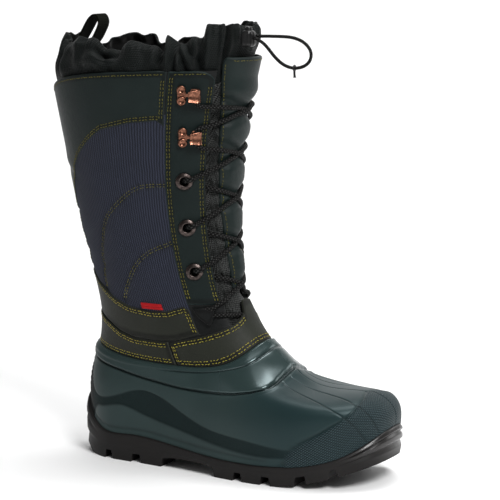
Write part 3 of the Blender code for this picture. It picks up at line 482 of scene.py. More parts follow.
def galosh_surface(turn, level):
    """Outside of the galosh, from the sole line at level 0 to its collar at level 1."""
    turn, level = np.broadcast_arrays(np.asarray(turn, float), np.asarray(level, float))
    base = foot_plan(turn)
    collar = raised(shaft_surface, turn, line(turn, "galosh_collar"), GAP + GALOSH_WALL)
    turns = column(GALOSH, GALOSH_COLUMNS, "turn")
    net = np.array([row[1:] for row in GALOSH])
    row = around(turns, net, net, turn)
    none = np.zeros(turn.shape)
    inward = np.stack([none, row[..., 0], row[..., 2], row[..., 4], none + 1], -1)
    heights = np.stack([foot(turn, "rim_z"), row[..., 1], row[..., 3], row[..., 5], collar[..., 2]], -1)
    weights = cubic(GALOSH_LEVELS, np.eye(len(GALOSH_LEVELS)), level)
    share = np.sum(weights * inward, -1)[..., None]
    cap = smooth(edge(TOE_CAP, TOE_CAP_COLUMNS, "level", turn) - level, 0, STEP_WIDTH)
    saddle = smooth(level - edge(SADDLE, SADDLE_COLUMNS, "level", turn), 0, STEP_WIDTH)
    saddle = saddle * smooth(1 - level, 0, SADDLE_FADE)
    steps = TOE_CAP_STEP * cap + SADDLE_STEP * saddle
    swell = (weights @ np.array(GALOSH_SWELL_SHARE) * row[..., 6])[..., None]
    plan = base + share * (collar[..., :2] - base) + (swell + steps[..., None]) * foot_outward(turn)
    return np.concatenate([plan, (np.sum(weights * heights, -1) + steps * level)[..., None]], -1)


def normal(surface, turn, level, level_step=0.002):
    """Unit direction out of a surface."""
    turn, level = np.broadcast_arrays(np.asarray(turn, float), np.asarray(level, float))
    along = surface(turn + 0.5, level) - surface(turn - 0.5, level)
    up = surface(turn, level + level_step) - surface(turn, level - level_step)
    out = np.cross(up, along)
    return out / np.linalg.norm(out, axis=-1, keepdims=True)


def raised(surface, turn, level, lift):
    """Points a distance outside a surface, or inside it where the distance is negative."""
    turn, level = np.broadcast_arrays(np.asarray(turn, float), np.asarray(level, float))
    lift = np.broadcast_to(np.asarray(lift, float), turn.shape)[..., None]
    return surface(turn, level) + lift * normal(surface, turn, level)


def edge(table, columns, name, turn):
    """Height of an overlay's edge, the same on both sides of the boot."""
    return np.interp(folded(turn), column(table, columns, "turn"), column(table, columns, name))


def ground(x):
    """Height of the lugs: flat under heel and ball, rising to the toe."""
    rise = np.clip((np.asarray(x, float) - SPRING_START) / SPRING_SPAN, 0, None)
    return SPRING_RISE * rise ** SPRING_POWER


def throat_line(turn):
    """Height at which the throat begins, just under the top of the vamp band."""
    return edge(VAMP_BAND, VAMP_BAND_COLUMNS, "high", np.clip(np.abs(turn), 0, THROAT_TURN)) - SEAM_LAP


def front_share(turn):
    """1 over the front of the throat, 0 behind the eyestays."""
    return 1 - smooth(folded(turn), TONGUE_BULGE_TURN, THROAT_TURN)


def tongue_lift(turn, z):
    """Lift of the tongue: behind the eyestays at its sides, bulging out between them."""
    hidden = -(SHAFT_WALL + TONGUE_GAP)
    return hidden + TONGUE_BULGE * front_share(turn) * smooth(z, *TONGUE_BULGE_HEIGHTS)


def tongue_surface(turn, z):
    """Outside of the tongue."""
    turn, z = np.broadcast_arrays(np.asarray(turn, float), np.asarray(z, float))
    return raised(shaft_surface, turn, z, tongue_lift(turn, z))


def gaiter_base(turn):
    """Lower edge of the snow cuff: over the tongue in front, tucked into the shaft elsewhere."""
    tucked = line(turn, "shaft_top") - GAITER_TUCK
    return tucked + (GAITER_FRONT_BASE - tucked) * (1 - smooth(folded(turn), *GAITER_BASE_TURNS))


def gaiter_surface(turn, share):
    """Outside of the gathered snow cuff, from its lower edge to its rim."""
    turn, share = np.broadcast_arrays(np.asarray(turn, float), np.asarray(share, float))
    low = gaiter_base(turn)
    rim = edge(GAITER, GAITER_COLUMNS, "rim_z", turn)
    shares = column(GAITER_RISE, GAITER_RISE_COLUMNS, "share")
    lifts = np.array([row[1:] for row in GAITER_RISE])
    lift = cubic(shares, lifts, share)
    front = 1 - smooth(folded(turn), *GAITER_FRONT_TURNS)
    back = smooth(folded(turn), *GAITER_BACK_TURNS)
    out = lift[..., 0] * (1 - front - back) + lift[..., 1] * front + lift[..., 2] * back
    for fold_turn, depth, half_turn in FOLDS:
        away = (turn - fold_turn + 180) % 360 - 180
        out = out - depth * np.exp(-(away / half_turn) ** 2) * smooth(share, *FOLD_SHARES)
    return raised(shaft_surface, turn, low + share * (rim - low), out)


# Camera, light and floor

PHOTO_SIDE = 500
FOCAL_PIXELS = 2079
SENSOR = 36.0
AIM = Vector((0.122, 0.0, 0.204))
AZIMUTH = math.radians(28)
DISTANCE = 1.9
EYE_HEIGHT = 0.50
BOOT = (0.08, 0.0, 0.16)
WALL = (-1.00, 1.90, 0.90)
# Columns: name, place, aim, side, power
LIGHTS = (
    ("key_light", (1.30, -0.85, 1.50), BOOT, 0.7, 33.0),
    ("fill_light", (-1.40, -1.30, 0.80), BOOT, 1.2, 2.0),
    ("top_light", (0.15, 0.10, 2.00), BOOT, 1.2, 6.0),
    ("rim_light", (1.00, 1.00, 0.70), BOOT, 0.7, 4.0),
    ("wall_light", (0.10, 0.60, 2.60), WALL, 1.6, 60.0),
)
SKY = 0.13

# Backdrop: a floor that sweeps up behind the boot
FLOOR_FRONT = 3.0
FLOOR_BACK = 1.6
SWEEP_RADIUS = 1.0
WALL_TOP = 3.0
FLOOR_HALF_WIDTH = 4.0
FLOOR_TONES = ((0.94, 0.94, 0.94), (0.96, 0.96, 0.96))
SWEEP_POINTS = 17


def make_camera():
    """Camera fitted to the photo."""
    data = bpy.data.cameras.new("photo_camera")
    data.sensor_width = SENSOR
    data.lens = FOCAL_PIXELS * SENSOR / PHOTO_SIDE
    camera = bpy.data.objects.new("photo_camera", data)
    back = Vector((math.sin(AZIMUTH), -math.cos(AZIMUTH), 0))
    camera.location = Vector((AIM.x, AIM.y, EYE_HEIGHT)) + back * DISTANCE
    camera.rotation_euler = (AIM - camera.location).to_track_quat("-Z", "Y").to_euler()
    bpy.context.scene.collection.objects.link(camera)
    bpy.context.scene.camera = camera


def make_lights():
    """Area lights, a white sky and the plain view transform."""
    for name, place, aim, side, power in LIGHTS:
        data = bpy.data.lights.new(name, "AREA")
        data.size = side
        data.energy = power
        light = bpy.data.objects.new(name, data)
        light.location = place
        light.rotation_euler = (Vector(aim) - light.location).to_track_quat("-Z", "Y").to_euler()
        bpy.context.scene.collection.objects.link(light)
    world = bpy.data.worlds.new("studio")
    world.use_nodes = True
    background = world.node_tree.nodes["Background"]
    background.inputs["Color"].default_value = (1.0, 1.0, 1.0, 1.0)
    background.inputs["Strength"].default_value = SKY
    bpy.context.scene.world = world
    bpy.context.scene.view_settings.view_transform = "Standard"


def make_floor():
    """Pale sweep: floor, bend and wall, square to the camera."""
    look = Look("floor_paint")
    cloud = look.noise(look.place(), scale=3.0)
    look.colour(look.blend(cloud, *FLOOR_TONES))
    look.set(Roughness=0.9)
    back = np.array([-math.sin(AZIMUTH), math.cos(AZIMUTH), 0])
    across = np.array([math.cos(AZIMUTH), math.sin(AZIMUTH), 0])
    bend = np.linspace(0, math.pi / 2, SWEEP_POINTS)
    profile = [(-FLOOR_FRONT, 0.0)]
    profile += [(FLOOR_BACK + SWEEP_RADIUS * math.sin(a), SWEEP_RADIUS * (1 - math.cos(a))) for a in bend]
    profile.append((FLOOR_BACK + SWEEP_RADIUS, WALL_TOP))
    sides = (-FLOOR_HALF_WIDTH, FLOOR_HALF_WIDTH)
    rows = [[x * back + s * across + (0, 0, z) for s in sides] for x, z in profile]
    points = np.array(rows).reshape(-1, 3)
    faces = [(2 * i, 2 * i + 1, 2 * i + 3, 2 * i + 2) for i in range(len(profile) - 1)]
    mesh = bpy.data.meshes.new("floor")
    mesh.from_pydata(points.tolist(), [], faces)
    mesh.shade_smooth()
    mesh.materials.append(look.material)
    floor = bpy.data.objects.new("floor", mesh)
    bpy.context.scene.collection.objects.link(floor)


# Materials: tones are linear red, green and blue, scales are cells in a metre

# Sockets of a mix node that mixes colours
MIX_FACTOR = 0
MIX_FIRST = 6
MIX_SECOND = 7
MIX_RESULT = 2
DOT_PITCH = 0.0023
GALOSH_TONES = ((0.0130, 0.0242, 0.0236), (0.0228, 0.0390, 0.0376))
# Painted shade over the vamp, below the saddle
VAMP_SHADE_TONE = (0.006, 0.018, 0.020)
CAP_TONE = (0.0025, 0.0065, 0.0085)
# Painted highlight on the dots of the toe cap
DOT_HIGHLIGHT_TONE = (0.044, 0.076, 0.084)
BAND_TONE = (0.0055, 0.0105, 0.0110)
HEEL_TONE = (0.008, 0.0075, 0.0075)
# Painted shade in the grooves of the moulded lines and vamp creases
GROOVE_SHADE_TONE = (0.002, 0.004, 0.004)
GALOSH_TINT = (0.76, 0.95, 0.98)
SOLE_TONES = ((0.006, 0.0055, 0.0055), (0.014, 0.0125, 0.012))
NAVY_TONES = ((0.003, 0.004, 0.006), (0.042, 0.047, 0.076))
# Painted shade in the quilting
QUILT_SHADE_TONE = (0.004, 0.005, 0.006)
FADED_TONE = (0.012, 0.015, 0.020)
RIB_PITCH = 0.0025
CROSS_PITCH = 0.0016
# Leather: share of its dark tone left in the painted shade along a seam, and what a worn edge adds to its
# light tone
PAINTED_SEAM_SHADE = 0.3
WORN_ADDED = 0.006
PLASTIC_TONES = ((0.004, 0.004, 0.004), (0.010, 0.010, 0.010))
# The thread is brightest low on the boot: heights of its least and of its full brightness
THREAD_BRIGHT_HEIGHTS = (0.185, 0.135)
THREAD_LEAST_BRIGHT = 0.26


class Look:
    """A material and short ways to add nodes to it."""

    def __init__(self, name):
        self.material = bpy.data.materials.new(name)
        self.material.use_nodes = True
        self.tree = self.material.node_tree
        self.shader = self.tree.nodes["Principled BSDF"]

    def node(self, kind, **settings):
        """New node with its settings."""
        made = self.tree.nodes.new(kind)
        for key, value in settings.items():
            setattr(made, key, value)
        return made

    def feed(self, socket, value):
        """Link a socket to another one, or set its constant."""
        if isinstance(value, bpy.types.NodeSocket):
            self.tree.links.new(value, socket)
        elif isinstance(value, tuple) and len(value) == 3 and socket.type == "RGBA":
            socket.default_value = (*value, 1.0)
        else:
            socket.default_value = value

    def set(self, **values):
        """Feed sockets of the shader by name."""
        for key, value in values.items():
            self.feed(self.shader.inputs[key.replace("_", " ")], value)

    def colour(self, value):
        self.feed(self.shader.inputs["Base Color"], value)

    def math(self, operation, first, second=0.0):
        made = self.node("ShaderNodeMath", operation=operation)
        self.feed(made.inputs[0], first)
        self.feed(made.inputs[1], second)
        return made.outputs[0]

    def times(self, first, second):
        return self.math("MULTIPLY", first, second)

    def plus(self, first, second):
        return self.math("ADD", first, second)

    def minus(self, first, second):
        return self.math("SUBTRACT", first, second)

    def place(self):
        """Place on the boot, in metres."""
        return self.node("ShaderNodeTexCoord").outputs["Object"]

    def along(self):
        """Lengths along the piece, from its UV map, in metres."""
        split = self.node("ShaderNodeSeparateXYZ")
        self.feed(split.inputs[0], self.node("ShaderNodeTexCoord").outputs["UV"])
        return split.outputs[0], split.outputs[1]

    def mark(self, name):
        """Value that the mesh carries at each point."""
        return self.node("ShaderNodeAttribute", attribute_name=name).outputs["Fac"]

    def noise(self, vector, scale, detail=2.0):
        made = self.node("ShaderNodeTexNoise")
        self.feed(made.inputs["Vector"], vector)
        made.inputs["Scale"].default_value = scale
        made.inputs["Detail"].default_value = detail
        return made.outputs[0]

    def cells(self, vector, scale):
        made = self.node("ShaderNodeTexVoronoi")
        self.feed(made.inputs["Vector"], vector)
        made.inputs["Scale"].default_value = scale
        return made.outputs["Distance"]

    def stripe(self, value, pitch):
        """Wave between 0 and 1 along a length."""
        wave = self.math("SINE", self.times(value, 2 * math.pi / pitch))
        return self.times(self.plus(wave, 1.0), 0.5)

    def spread(self, value, low, high):
        """0 to 1 brought to low to high."""
        return self.plus(self.times(value, high - low), low)

    def blend(self, factor, first, second):
        """Mix of two colours."""
        made = self.node("ShaderNodeMix", data_type="RGBA")
        self.feed(made.inputs[MIX_FACTOR], factor)
        self.feed(made.inputs[MIX_FIRST], first)
        self.feed(made.inputs[MIX_SECOND], second)
        return made.outputs[MIX_RESULT]

    def relief(self, height, depth):
        """Bump of a height from 0 to 1 that stands for a real depth."""
        made = self.node("ShaderNodeBump")
        made.inputs["Distance"].default_value = depth
        self.feed(made.inputs["Height"], height)
        self.feed(self.shader.inputs["Normal"], made.outputs[0])


def galosh_look():
    """Moulded rubber: satin, with a dotted toe cap, a matt band and a black heel, painted highlights on the
    cap's dots and painted shade in the grooves and over the vamp.
    """
    look = Look("galosh_rubber_look")
    place = look.place()
    across, up = look.along()
    cloud = look.noise(place, scale=22, detail=4)
    fine = look.noise(place, scale=900, detail=2)
    cap = look.mark("cap")
    band = look.mark("band")
    polish = look.mark("polish")
    right = look.stripe(look.plus(across, up), DOT_PITCH)
    left = look.stripe(look.minus(across, up), DOT_PITCH)
    dots = look.times(cap, look.times(right, left))
    base = look.blend(cloud, *GALOSH_TONES)
    # Painted shade over the vamp
    base = look.blend(look.times(look.mark("vamp"), 0.8), base, VAMP_SHADE_TONE)
    base = look.blend(cap, base, CAP_TONE)
    # Painted highlight on the toe cap's dots
    base = look.blend(dots, base, DOT_HIGHLIGHT_TONE)
    base = look.blend(look.times(band, 0.8), base, BAND_TONE)
    base = look.blend(look.mark("heel"), base, HEEL_TONE)
    # Painted shade in the grooves and creases
    look.colour(look.blend(look.times(look.mark("groove"), 0.85), base, GROOVE_SHADE_TONE))
    rough = look.minus(look.spread(cloud, low=0.40, high=0.50), look.times(polish, 0.22))
    rough = look.plus(rough, look.times(cap, 0.08))
    look.set(Roughness=look.plus(rough, look.times(band, 0.22)), Specular_Tint=GALOSH_TINT)
    gloss = look.minus(look.spread(polish, low=0.27, high=0.75), look.times(band, 0.15))
    look.set(Specular_IOR_Level=gloss)
    height = look.plus(look.times(fine, 0.03), dots)
    height = look.plus(height, look.times(band, look.times(fine, 0.4)))
    look.relief(height, depth=0.0007)
    return look.material


def sole_look():
    """Dull black rubber, shinier over the toe."""
    look = Look("sole_rubber_look")
    place = look.place()
    cloud = look.noise(place, scale=30, detail=4)
    fine = look.noise(place, scale=800, detail=3)
    shine = look.mark("shine")
    look.colour(look.blend(cloud, *SOLE_TONES))
    rough = look.minus(look.spread(cloud, low=0.50, high=0.64), look.times(shine, 0.26))
    look.set(Roughness=rough, Specular_IOR_Level=look.spread(shine, low=0.20, high=0.55))
    look.relief(fine, depth=0.00008)
    return look.material


def leather_look(name, dark, light, rough, edge_tone=2.0):
    """Grained leather, with painted shade along its seams and lighter on its cut edges."""
    look = Look(name)
    place = look.place()
    cloud = look.noise(place, scale=28, detail=4)
    crease = look.noise(place, scale=260, detail=4)
    grain = look.cells(place, scale=950)
    base = look.blend(cloud, dark, light)
    shade = tuple(PAINTED_SEAM_SHADE * part for part in dark)
    # Painted shade along the seams
    seam = look.times(look.mark("seam"), look.spread(crease, low=0.5, high=1.0))
    worn = tuple(edge_tone * part + WORN_ADDED for part in light)
    wear = look.times(look.mark("edge"), look.spread(crease, low=0.0, high=0.8))
    look.colour(look.blend(wear, look.blend(seam, base, shade), worn))
    look.set(Roughness=look.spread(crease, rough - 0.07, rough + 0.09), Specular_IOR_Level=0.17)
    height = look.plus(look.times(grain, 0.6), look.times(crease, 0.6))
    look.relief(height, depth=0.00018)
    return look.material


def navy_look():
    """Ribbed cloth of the quilted panels, with painted shade in the quilting."""
    look = Look("navy_cloth_look")
    across, up = look.along()
    place = look.place()
    cloud = look.noise(place, scale=40, detail=3)
    waver = look.times(look.noise(place, scale=120, detail=2), 0.0016)
    rib = look.stripe(look.plus(across, waver), RIB_PITCH)
    thread = look.stripe(look.plus(up, look.times(across, 0.6)), CROSS_PITCH)
    weave = look.plus(look.times(rib, 0.7), look.times(thread, 0.3))
    base = look.blend(weave, *NAVY_TONES)
    # Painted shade along the quilting arcs
    base = look.blend(look.times(look.mark("quilt"), 0.8), base, QUILT_SHADE_TONE)
    look.colour(look.blend(look.times(cloud, 0.45), base, FADED_TONE))
    look.set(Roughness=0.85, Specular_IOR_Level=0.12, Sheen_Weight=0.06, Sheen_Roughness=0.5)
    look.relief(weave, depth=0.0005)
    return look.material


def cloth_look(name, dark, light, pitch, rough, depth, gloss=0.10):
    """Plain woven cloth with fine cross threads."""
    look = Look(name)
    across, up = look.along()
    place = look.place()
    cloud = look.noise(place, scale=45, detail=4)
    warp = look.stripe(look.plus(across, look.times(up, 0.35)), pitch)
    weft = look.stripe(up, pitch * 0.8)
    weave = look.times(look.plus(warp, weft), 0.5)
    base = look.blend(weave, dark, light)
    look.colour(look.blend(look.times(cloud, 0.5), base, dark))
    look.set(Specular_IOR_Level=gloss, Sheen_Weight=0.03, Sheen_Roughness=0.45)
    look.set(Roughness=look.spread(cloud, rough - 0.08, rough + 0.08))
    look.relief(weave, depth)
    return look.material


def felt_look(name, dark, light):
    """Soft felt with a hairy surface."""
    look = Look(name)
    place = look.place()
    hair = look.noise(place, scale=420, detail=6)
    cloud = look.noise(place, scale=35, detail=3)
    look.colour(look.blend(look.times(look.plus(hair, cloud), 0.5), dark, light))
    look.set(Roughness=0.95, Specular_IOR_Level=0.1, Sheen_Weight=0.1)
    look.relief(hair, depth=0.0006)
    return look.material


def braid_look(name, dark, light, pitch):
    """Round braid: two sets of strands that cross, with painted glints on the strands."""
    look = Look(name)
    along, round_ = look.along()
    right = look.stripe(look.plus(along, round_), pitch)
    left = look.stripe(look.minus(along, round_), pitch)
    weave = look.math("MAXIMUM", right, left)
    # Painted glints on the tops of the strands
    strand_glints = look.math("POWER", look.times(right, left), 1.5)
    look.colour(look.blend(strand_glints, dark, light))
    look.set(Roughness=0.7, Specular_IOR_Level=0.12)
    look.relief(weave, depth=0.0005)
    return look.material


def copper_look(name, bright, patina_colour):
    """Metal with dull spots of patina."""
    look = Look(name)
    place = look.place()
    patina = look.noise(place, scale=380, detail=5)
    spots = look.cells(place, scale=500)
    dull = look.times(patina, look.spread(spots, low=0.6, high=1.5))
    look.colour(look.blend(dull, bright, patina_colour))
    look.set(Metallic=1.0, Roughness=look.spread(dull, low=0.14, high=0.46))
    look.relief(patina, depth=0.0001)
    return look.material


def plastic_look():
    """Smooth black plastic."""
    look = Look("black_plastic_look")
    place = look.place()
    cloud = look.noise(place, scale=300, detail=3)
    look.colour(look.blend(cloud, *PLASTIC_TONES))
    look.set(Roughness=look.spread(cloud, low=0.22, high=0.38), Specular_IOR_Level=0.35)
    look.relief(cloud, depth=0.00005)
    return look.material


def thread_look(name, dark, light):
    """Twisted thread, brightest low on the boot."""
    look = Look(name)
    place = look.place()
    cloud = look.noise(place, scale=260, detail=3)
    twist = look.noise(place, scale=2200, detail=2)
    split = look.node("ShaderNodeSeparateXYZ")
    look.feed(split.inputs[0], place)
    height_brightness = look.node("ShaderNodeMapRange", interpolation_type="SMOOTHSTEP")
    look.feed(height_brightness.inputs["Value"], split.outputs[2])
    height_brightness.inputs["From Min"].default_value, height_brightness.inputs["From Max"].default_value = THREAD_BRIGHT_HEIGHTS
    height_brightness.inputs["To Min"].default_value = THREAD_LEAST_BRIGHT
    height_brightness.inputs["To Max"].default_value = 1.0
    speck = look.math("POWER", look.times(look.plus(cloud, twist), 0.75), 2.2)
    look.colour(look.blend(look.times(speck, height_brightness.outputs[0]), dark, light))
    look.set(Roughness=0.75, Specular_IOR_Level=0.15)
    look.relief(twist, depth=0.0002)
    return look.material


# Mesh helpers

WELD = 2e-6
STITCH_WELD = 1e-6
SHORTEST_EDGE = 1e-7
CURVE_SAMPLES = 40
# Step in level, for directions out of surfaces that run from level 0 to level 1
LEVEL_STEP = 0.01
# Direction that no cord starts along
ASIDE = (0.31, 0.17, 0.93)


def net(points, slot=0, flip=False, keep=None, uv=None, **marks):
    """A grid of points for one face of a piece: rows up or along it, columns round it."""
    points = np.asarray(points, float)
    if uv is None:
        step_across = np.linalg.norm(np.diff(points, axis=1), axis=-1).mean(0)
        step_up = np.linalg.norm(np.diff(points, axis=0), axis=-1)
        across = np.concatenate([[0.0], np.cumsum(step_across)])
        up = np.concatenate([np.zeros((1, points.shape[1])), np.cumsum(step_up, axis=0)])
        uv = np.stack([np.broadcast_to(across, up.shape), up], -1)
    return {"points": points, "slot": slot, "flip": flip, "keep": keep, "uv": uv, "marks": marks}


def make_piece(name, nets, materials, weld=WELD, sharp=None):
    """One mesh object from nets, welded where they meet, riding on the boot."""
    points, uvs, faces, slots = [], [], [], []
    names = sorted({mark for part in nets for mark in part["marks"]})
    marks = {mark: [] for mark in names}
    start = 0
    for part in nets:
        rows, cols = part["points"].shape[:2]
        row, col = np.meshgrid(np.arange(rows - 1), np.arange(cols - 1), indexing="ij")
        first = start + row * cols + col
        corners = [first, first + cols, first + cols + 1, first + 1]
        if part["flip"]:
            corners = corners[::-1]
        quads = np.stack(corners, -1)
        quads = quads.reshape(-1, 4) if part["keep"] is None else quads[part["keep"]]
        faces.append(quads)
        slots.append(np.full(len(quads), part["slot"]))
        points.append(part["points"].reshape(-1, 3))
        uvs.append(np.asarray(part["uv"], float).reshape(-1, 2))
        for mark in names:
            value = part["marks"].get(mark, 0.0)
            marks[mark].append(np.broadcast_to(np.asarray(value, float), (rows, cols)).reshape(-1))
        start += rows * cols
    points, uvs, faces = np.concatenate(points), np.concatenate(uvs), np.concatenate(faces)
    mesh = bpy.data.meshes.new(name)
    mesh.from_pydata(points.tolist(), [], faces.tolist())
    mesh.polygons.foreach_set("material_index", np.concatenate(slots).astype(np.int32))
    layer = mesh.uv_layers.new(name="UVMap")
    layer.data.foreach_set("uv", uvs[faces.reshape(-1)].astype(np.float32).reshape(-1))
    for mark in names:
        field = mesh.attributes.new(mark, "FLOAT", "POINT")
        field.data.foreach_set("value", np.concatenate(marks[mark]).astype(np.float32))
    work = bmesh.new()
    work.from_mesh(mesh)
    bmesh.ops.remove_doubles(work, verts=work.verts, dist=weld)
    bmesh.ops.dissolve_degenerate(work, edges=work.edges, dist=SHORTEST_EDGE)
    bmesh.ops.delete(work, geom=[v for v in work.verts if not v.link_faces], context="VERTS")
    work.to_mesh(mesh)
    work.free()
    mesh.shade_smooth()
    if sharp:
        mesh.set_sharp_from_angle(angle=math.radians(sharp))
    for material in materials:
        mesh.materials.append(material)
    piece = bpy.data.objects.new(name, mesh)
    bpy.context.scene.collection.objects.link(piece)
    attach(piece, "root")
    return piece


def headings(points):
    """Unit direction along a line at each of its points."""
    ahead = np.gradient(points, axis=0)
    return ahead / np.linalg.norm(ahead, axis=1, keepdims=True)


def lengths_along(points):
    """Length of a line from its start to each of its points."""
    return np.concatenate([[0], np.cumsum(np.linalg.norm(np.diff(points, axis=0), axis=1))])


def tube_net(points, radius, sides):
    """Net round a line of points, closed at both ends."""
    points = np.asarray(points, float)
    ahead = headings(points)
    radius = np.broadcast_to(np.asarray(radius, float), (len(points),))
    side = np.cross(ahead[0], ASIDE)
    angles = np.linspace(0, 2 * math.pi, sides + 1)
    rings = []
    for i, point in enumerate(points):
        side = side - ahead[i] * side.dot(ahead[i])
        side = side / np.linalg.norm(side)
        other = np.cross(ahead[i], side)
        rings.append(point + radius[i] * (np.cos(angles)[:, None] * side + np.sin(angles)[:, None] * other))
    rings = np.array([np.repeat(points[:1], sides + 1, 0)] + rings + [np.repeat(points[-1:], sides + 1, 0)])
    length = lengths_along(points)
    length = np.concatenate([length[:1], length, length[-1:]])
    turn = np.broadcast_to(angles * radius.max(), (len(length), sides + 1))
    uv = np.stack([np.broadcast_to(length[:, None], turn.shape), turn], -1)
    return net(rings, uv=uv)


def curve_through(points, step):
    """Evenly spaced points on a smooth curve through a few points."""
    points = np.asarray(points, float)
    knots = lengths_along(points)
    dense = cubic(knots, points, np.linspace(0, knots[-1], CURVE_SAMPLES * len(points)))
    length = lengths_along(dense)
    at = np.linspace(0, length[-1], int(length[-1] / step) + 2)
    return np.stack([np.interp(at, length, dense[:, k]) for k in range(3)], -1)


def turns_between(start, end, step):
    """Turns from start to end, about a step apart."""
    return np.linspace(start, end, int(round(abs(end - start) / step)) + 1)


def trough(distance, half_width):
    """1 on a line, fading to 0 at a distance from it."""
    return np.exp(-(np.asarray(distance, float) / half_width) ** 2)


def quarter_round(share):
    """Height of a quarter circle: 0 at share 0, steep there, and 1 from share 1 on."""
    return np.sqrt(1 - (1 - np.clip(share, 0, 1)) ** 2)


# Leather pieces on the shaft

EDGE_STEPS = np.array([0.0, 0.0002, 0.0006, 0.0012, 0.0020, 0.0032])
EDGE_ROUND = 0.0014
WEAR_WIDTH = 0.0009
# Band of painted shade along a piece's edges: its width and fade
SEAM_SHADE_WIDTH = 0.0058
SEAM_SHADE_FADE = 0.0012
LEATHER_TOP = OVERLAY_GAP + LEATHER
BAND_TOP = OVERLAY_GAP + BAND_LEATHER
QUARTER_TOP = LEATHER_TOP + 0.0004
TOP_LAP = 0.0006
TAB_RISE = 0.0030
TAB_CUT = 0.72
TAB_CUT_POWER = 1.6
TAB_REACH = 1.1
TAB_POINT_TURN = 51.0
TAG_RISE = 0.0012
EYESTAY_CORNER = 13.0
EYESTAY_CORNER_DROP = 0.0125
# Turns between the points that a leather piece's width is measured at
MEASURE_STEP = 0.5
# Mesh steps of the leather pieces
LEATHER_STEP = 0.0022
BAND_STEP = 0.0016
EYESTAY_STEP = 0.0018
TAB_STEP = 0.0014
TAG_STEP = 0.0010
# Soft creases of the whole shaft
# Columns: turn, z, slope over 100 turns, half length in turns, depth
CREASES = (
    (150, 0.272, 0.030, 16, 0.0011),
    (140, 0.214, -0.040, 22, 0.0014),
    (128, 0.186, -0.060, 20, 0.0012),
    (158, 0.195, 0.020, 14, 0.0010),
    (100, 0.176, -0.050, 14, 0.0007),
    (176, 0.232, 0.000, 16, 0.0009),
)
DENT_HALF = 0.0045
SWELL_SHARE = 0.5
SWELL_ABOVE = 0.009
SWELL_HALF = 0.006


def spaced(length, step):
    """Distances along a length, close together at both ends."""
    middle = np.linspace(EDGE_STEPS[-1], length - EDGE_STEPS[-1], max(3, int(length / step)))
    return np.concatenate([EDGE_STEPS[:-1], middle, length - EDGE_STEPS[-2::-1]])


def shaft_dent(turn, z):
    """Soft creases of the whole shaft: a trough with a swell above it at each one."""
    turn = np.asarray(turn, float)
    side = folded(turn)
    out = np.zeros(np.broadcast(turn, z).shape)
    for crease_turn, crease_z, slope, length, depth in CREASES:
        away = z - crease_z - slope * (side - crease_turn) / 100
        near = trough(side - crease_turn, length)
        out = out - depth * trough(away, DENT_HALF) * near
        out = out + SWELL_SHARE * depth * trough(away - SWELL_ABOVE, SWELL_HALF) * near
    return out


def patch(name, slot, material, start, end, low, high, top, step=LEATHER_STEP, holes=()):
    """Leather piece on the shaft between two turns and two lines, its edges rounded down to the shaft."""
    coarse = turns_between(start, end, MEASURE_STEP)
    middle = (low(coarse) + high(coarse)) / 2
    arc = lengths_along(shaft_surface(coarse, middle))
    across = spaced(arc[-1], step)
    turns = np.interp(across, arc, coarse)
    bottom, head = low(turns), high(turns)
    tall = np.mean(head - bottom)
    up = spaced(tall, step) / tall
    z = bottom + up[:, None] * (head - bottom)
    turn = np.broadcast_to(turns, z.shape)
    from_side = np.broadcast_to(np.minimum(across, arc[-1] - across), z.shape)
    from_end = np.minimum(up, 1 - up)[:, None] * (head - bottom)
    inset = np.minimum(from_side, from_end)
    lift = top * quarter_round(inset / EDGE_ROUND) + shaft_dent(turn, z)
    points = raised(shaft_surface, turn, z, lift)
    keep = None
    if holes:
        centre = (points[:-1, :-1] + points[1:, 1:]) / 2
        keep = np.ones(centre.shape[:2], bool)
        for hole in holes:
            keep &= np.linalg.norm(centre - hole, axis=-1) > EYELET_HOLE
    # Share of painted shade along the seams at the piece's edges
    seam = 1 - smooth(inset, SEAM_SHADE_WIDTH - SEAM_SHADE_FADE, SEAM_SHADE_WIDTH)
    skin = net(points, keep=keep, edge=trough(inset, WEAR_WIDTH), seam=seam)
    piece = make_piece(f"{name}_skin", [skin], [material])
    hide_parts(name)


def tab_low(turn):
    """Lower edge of the lace tab, drawn to a rounded point."""
    low, high = LACE_TAB_HEIGHTS
    away = np.abs(folded(turn) - TAB_POINT_TURN) / (LACE_TAB_TURNS[1] - TAB_POINT_TURN)
    return low + TAB_CUT * (high - low) * np.clip(away, 0, TAB_REACH) ** TAB_CUT_POWER


def eyestay_low(turn):
    """Lower end of the eyestay, a little above the start of the throat."""
    base = throat_line(turn)
    return base + EYESTAY_LOW_SHARE * (line(turn, "shaft_top") - base)


def eyestay_top(turn):
    """Top of the eyestay, rounded off at the throat."""
    corner = quarter_round((folded(turn) - THROAT_TURN) / EYESTAY_CORNER)
    return line(turn, "shaft_top") - EYESTAY_CORNER_DROP * (1 - corner)


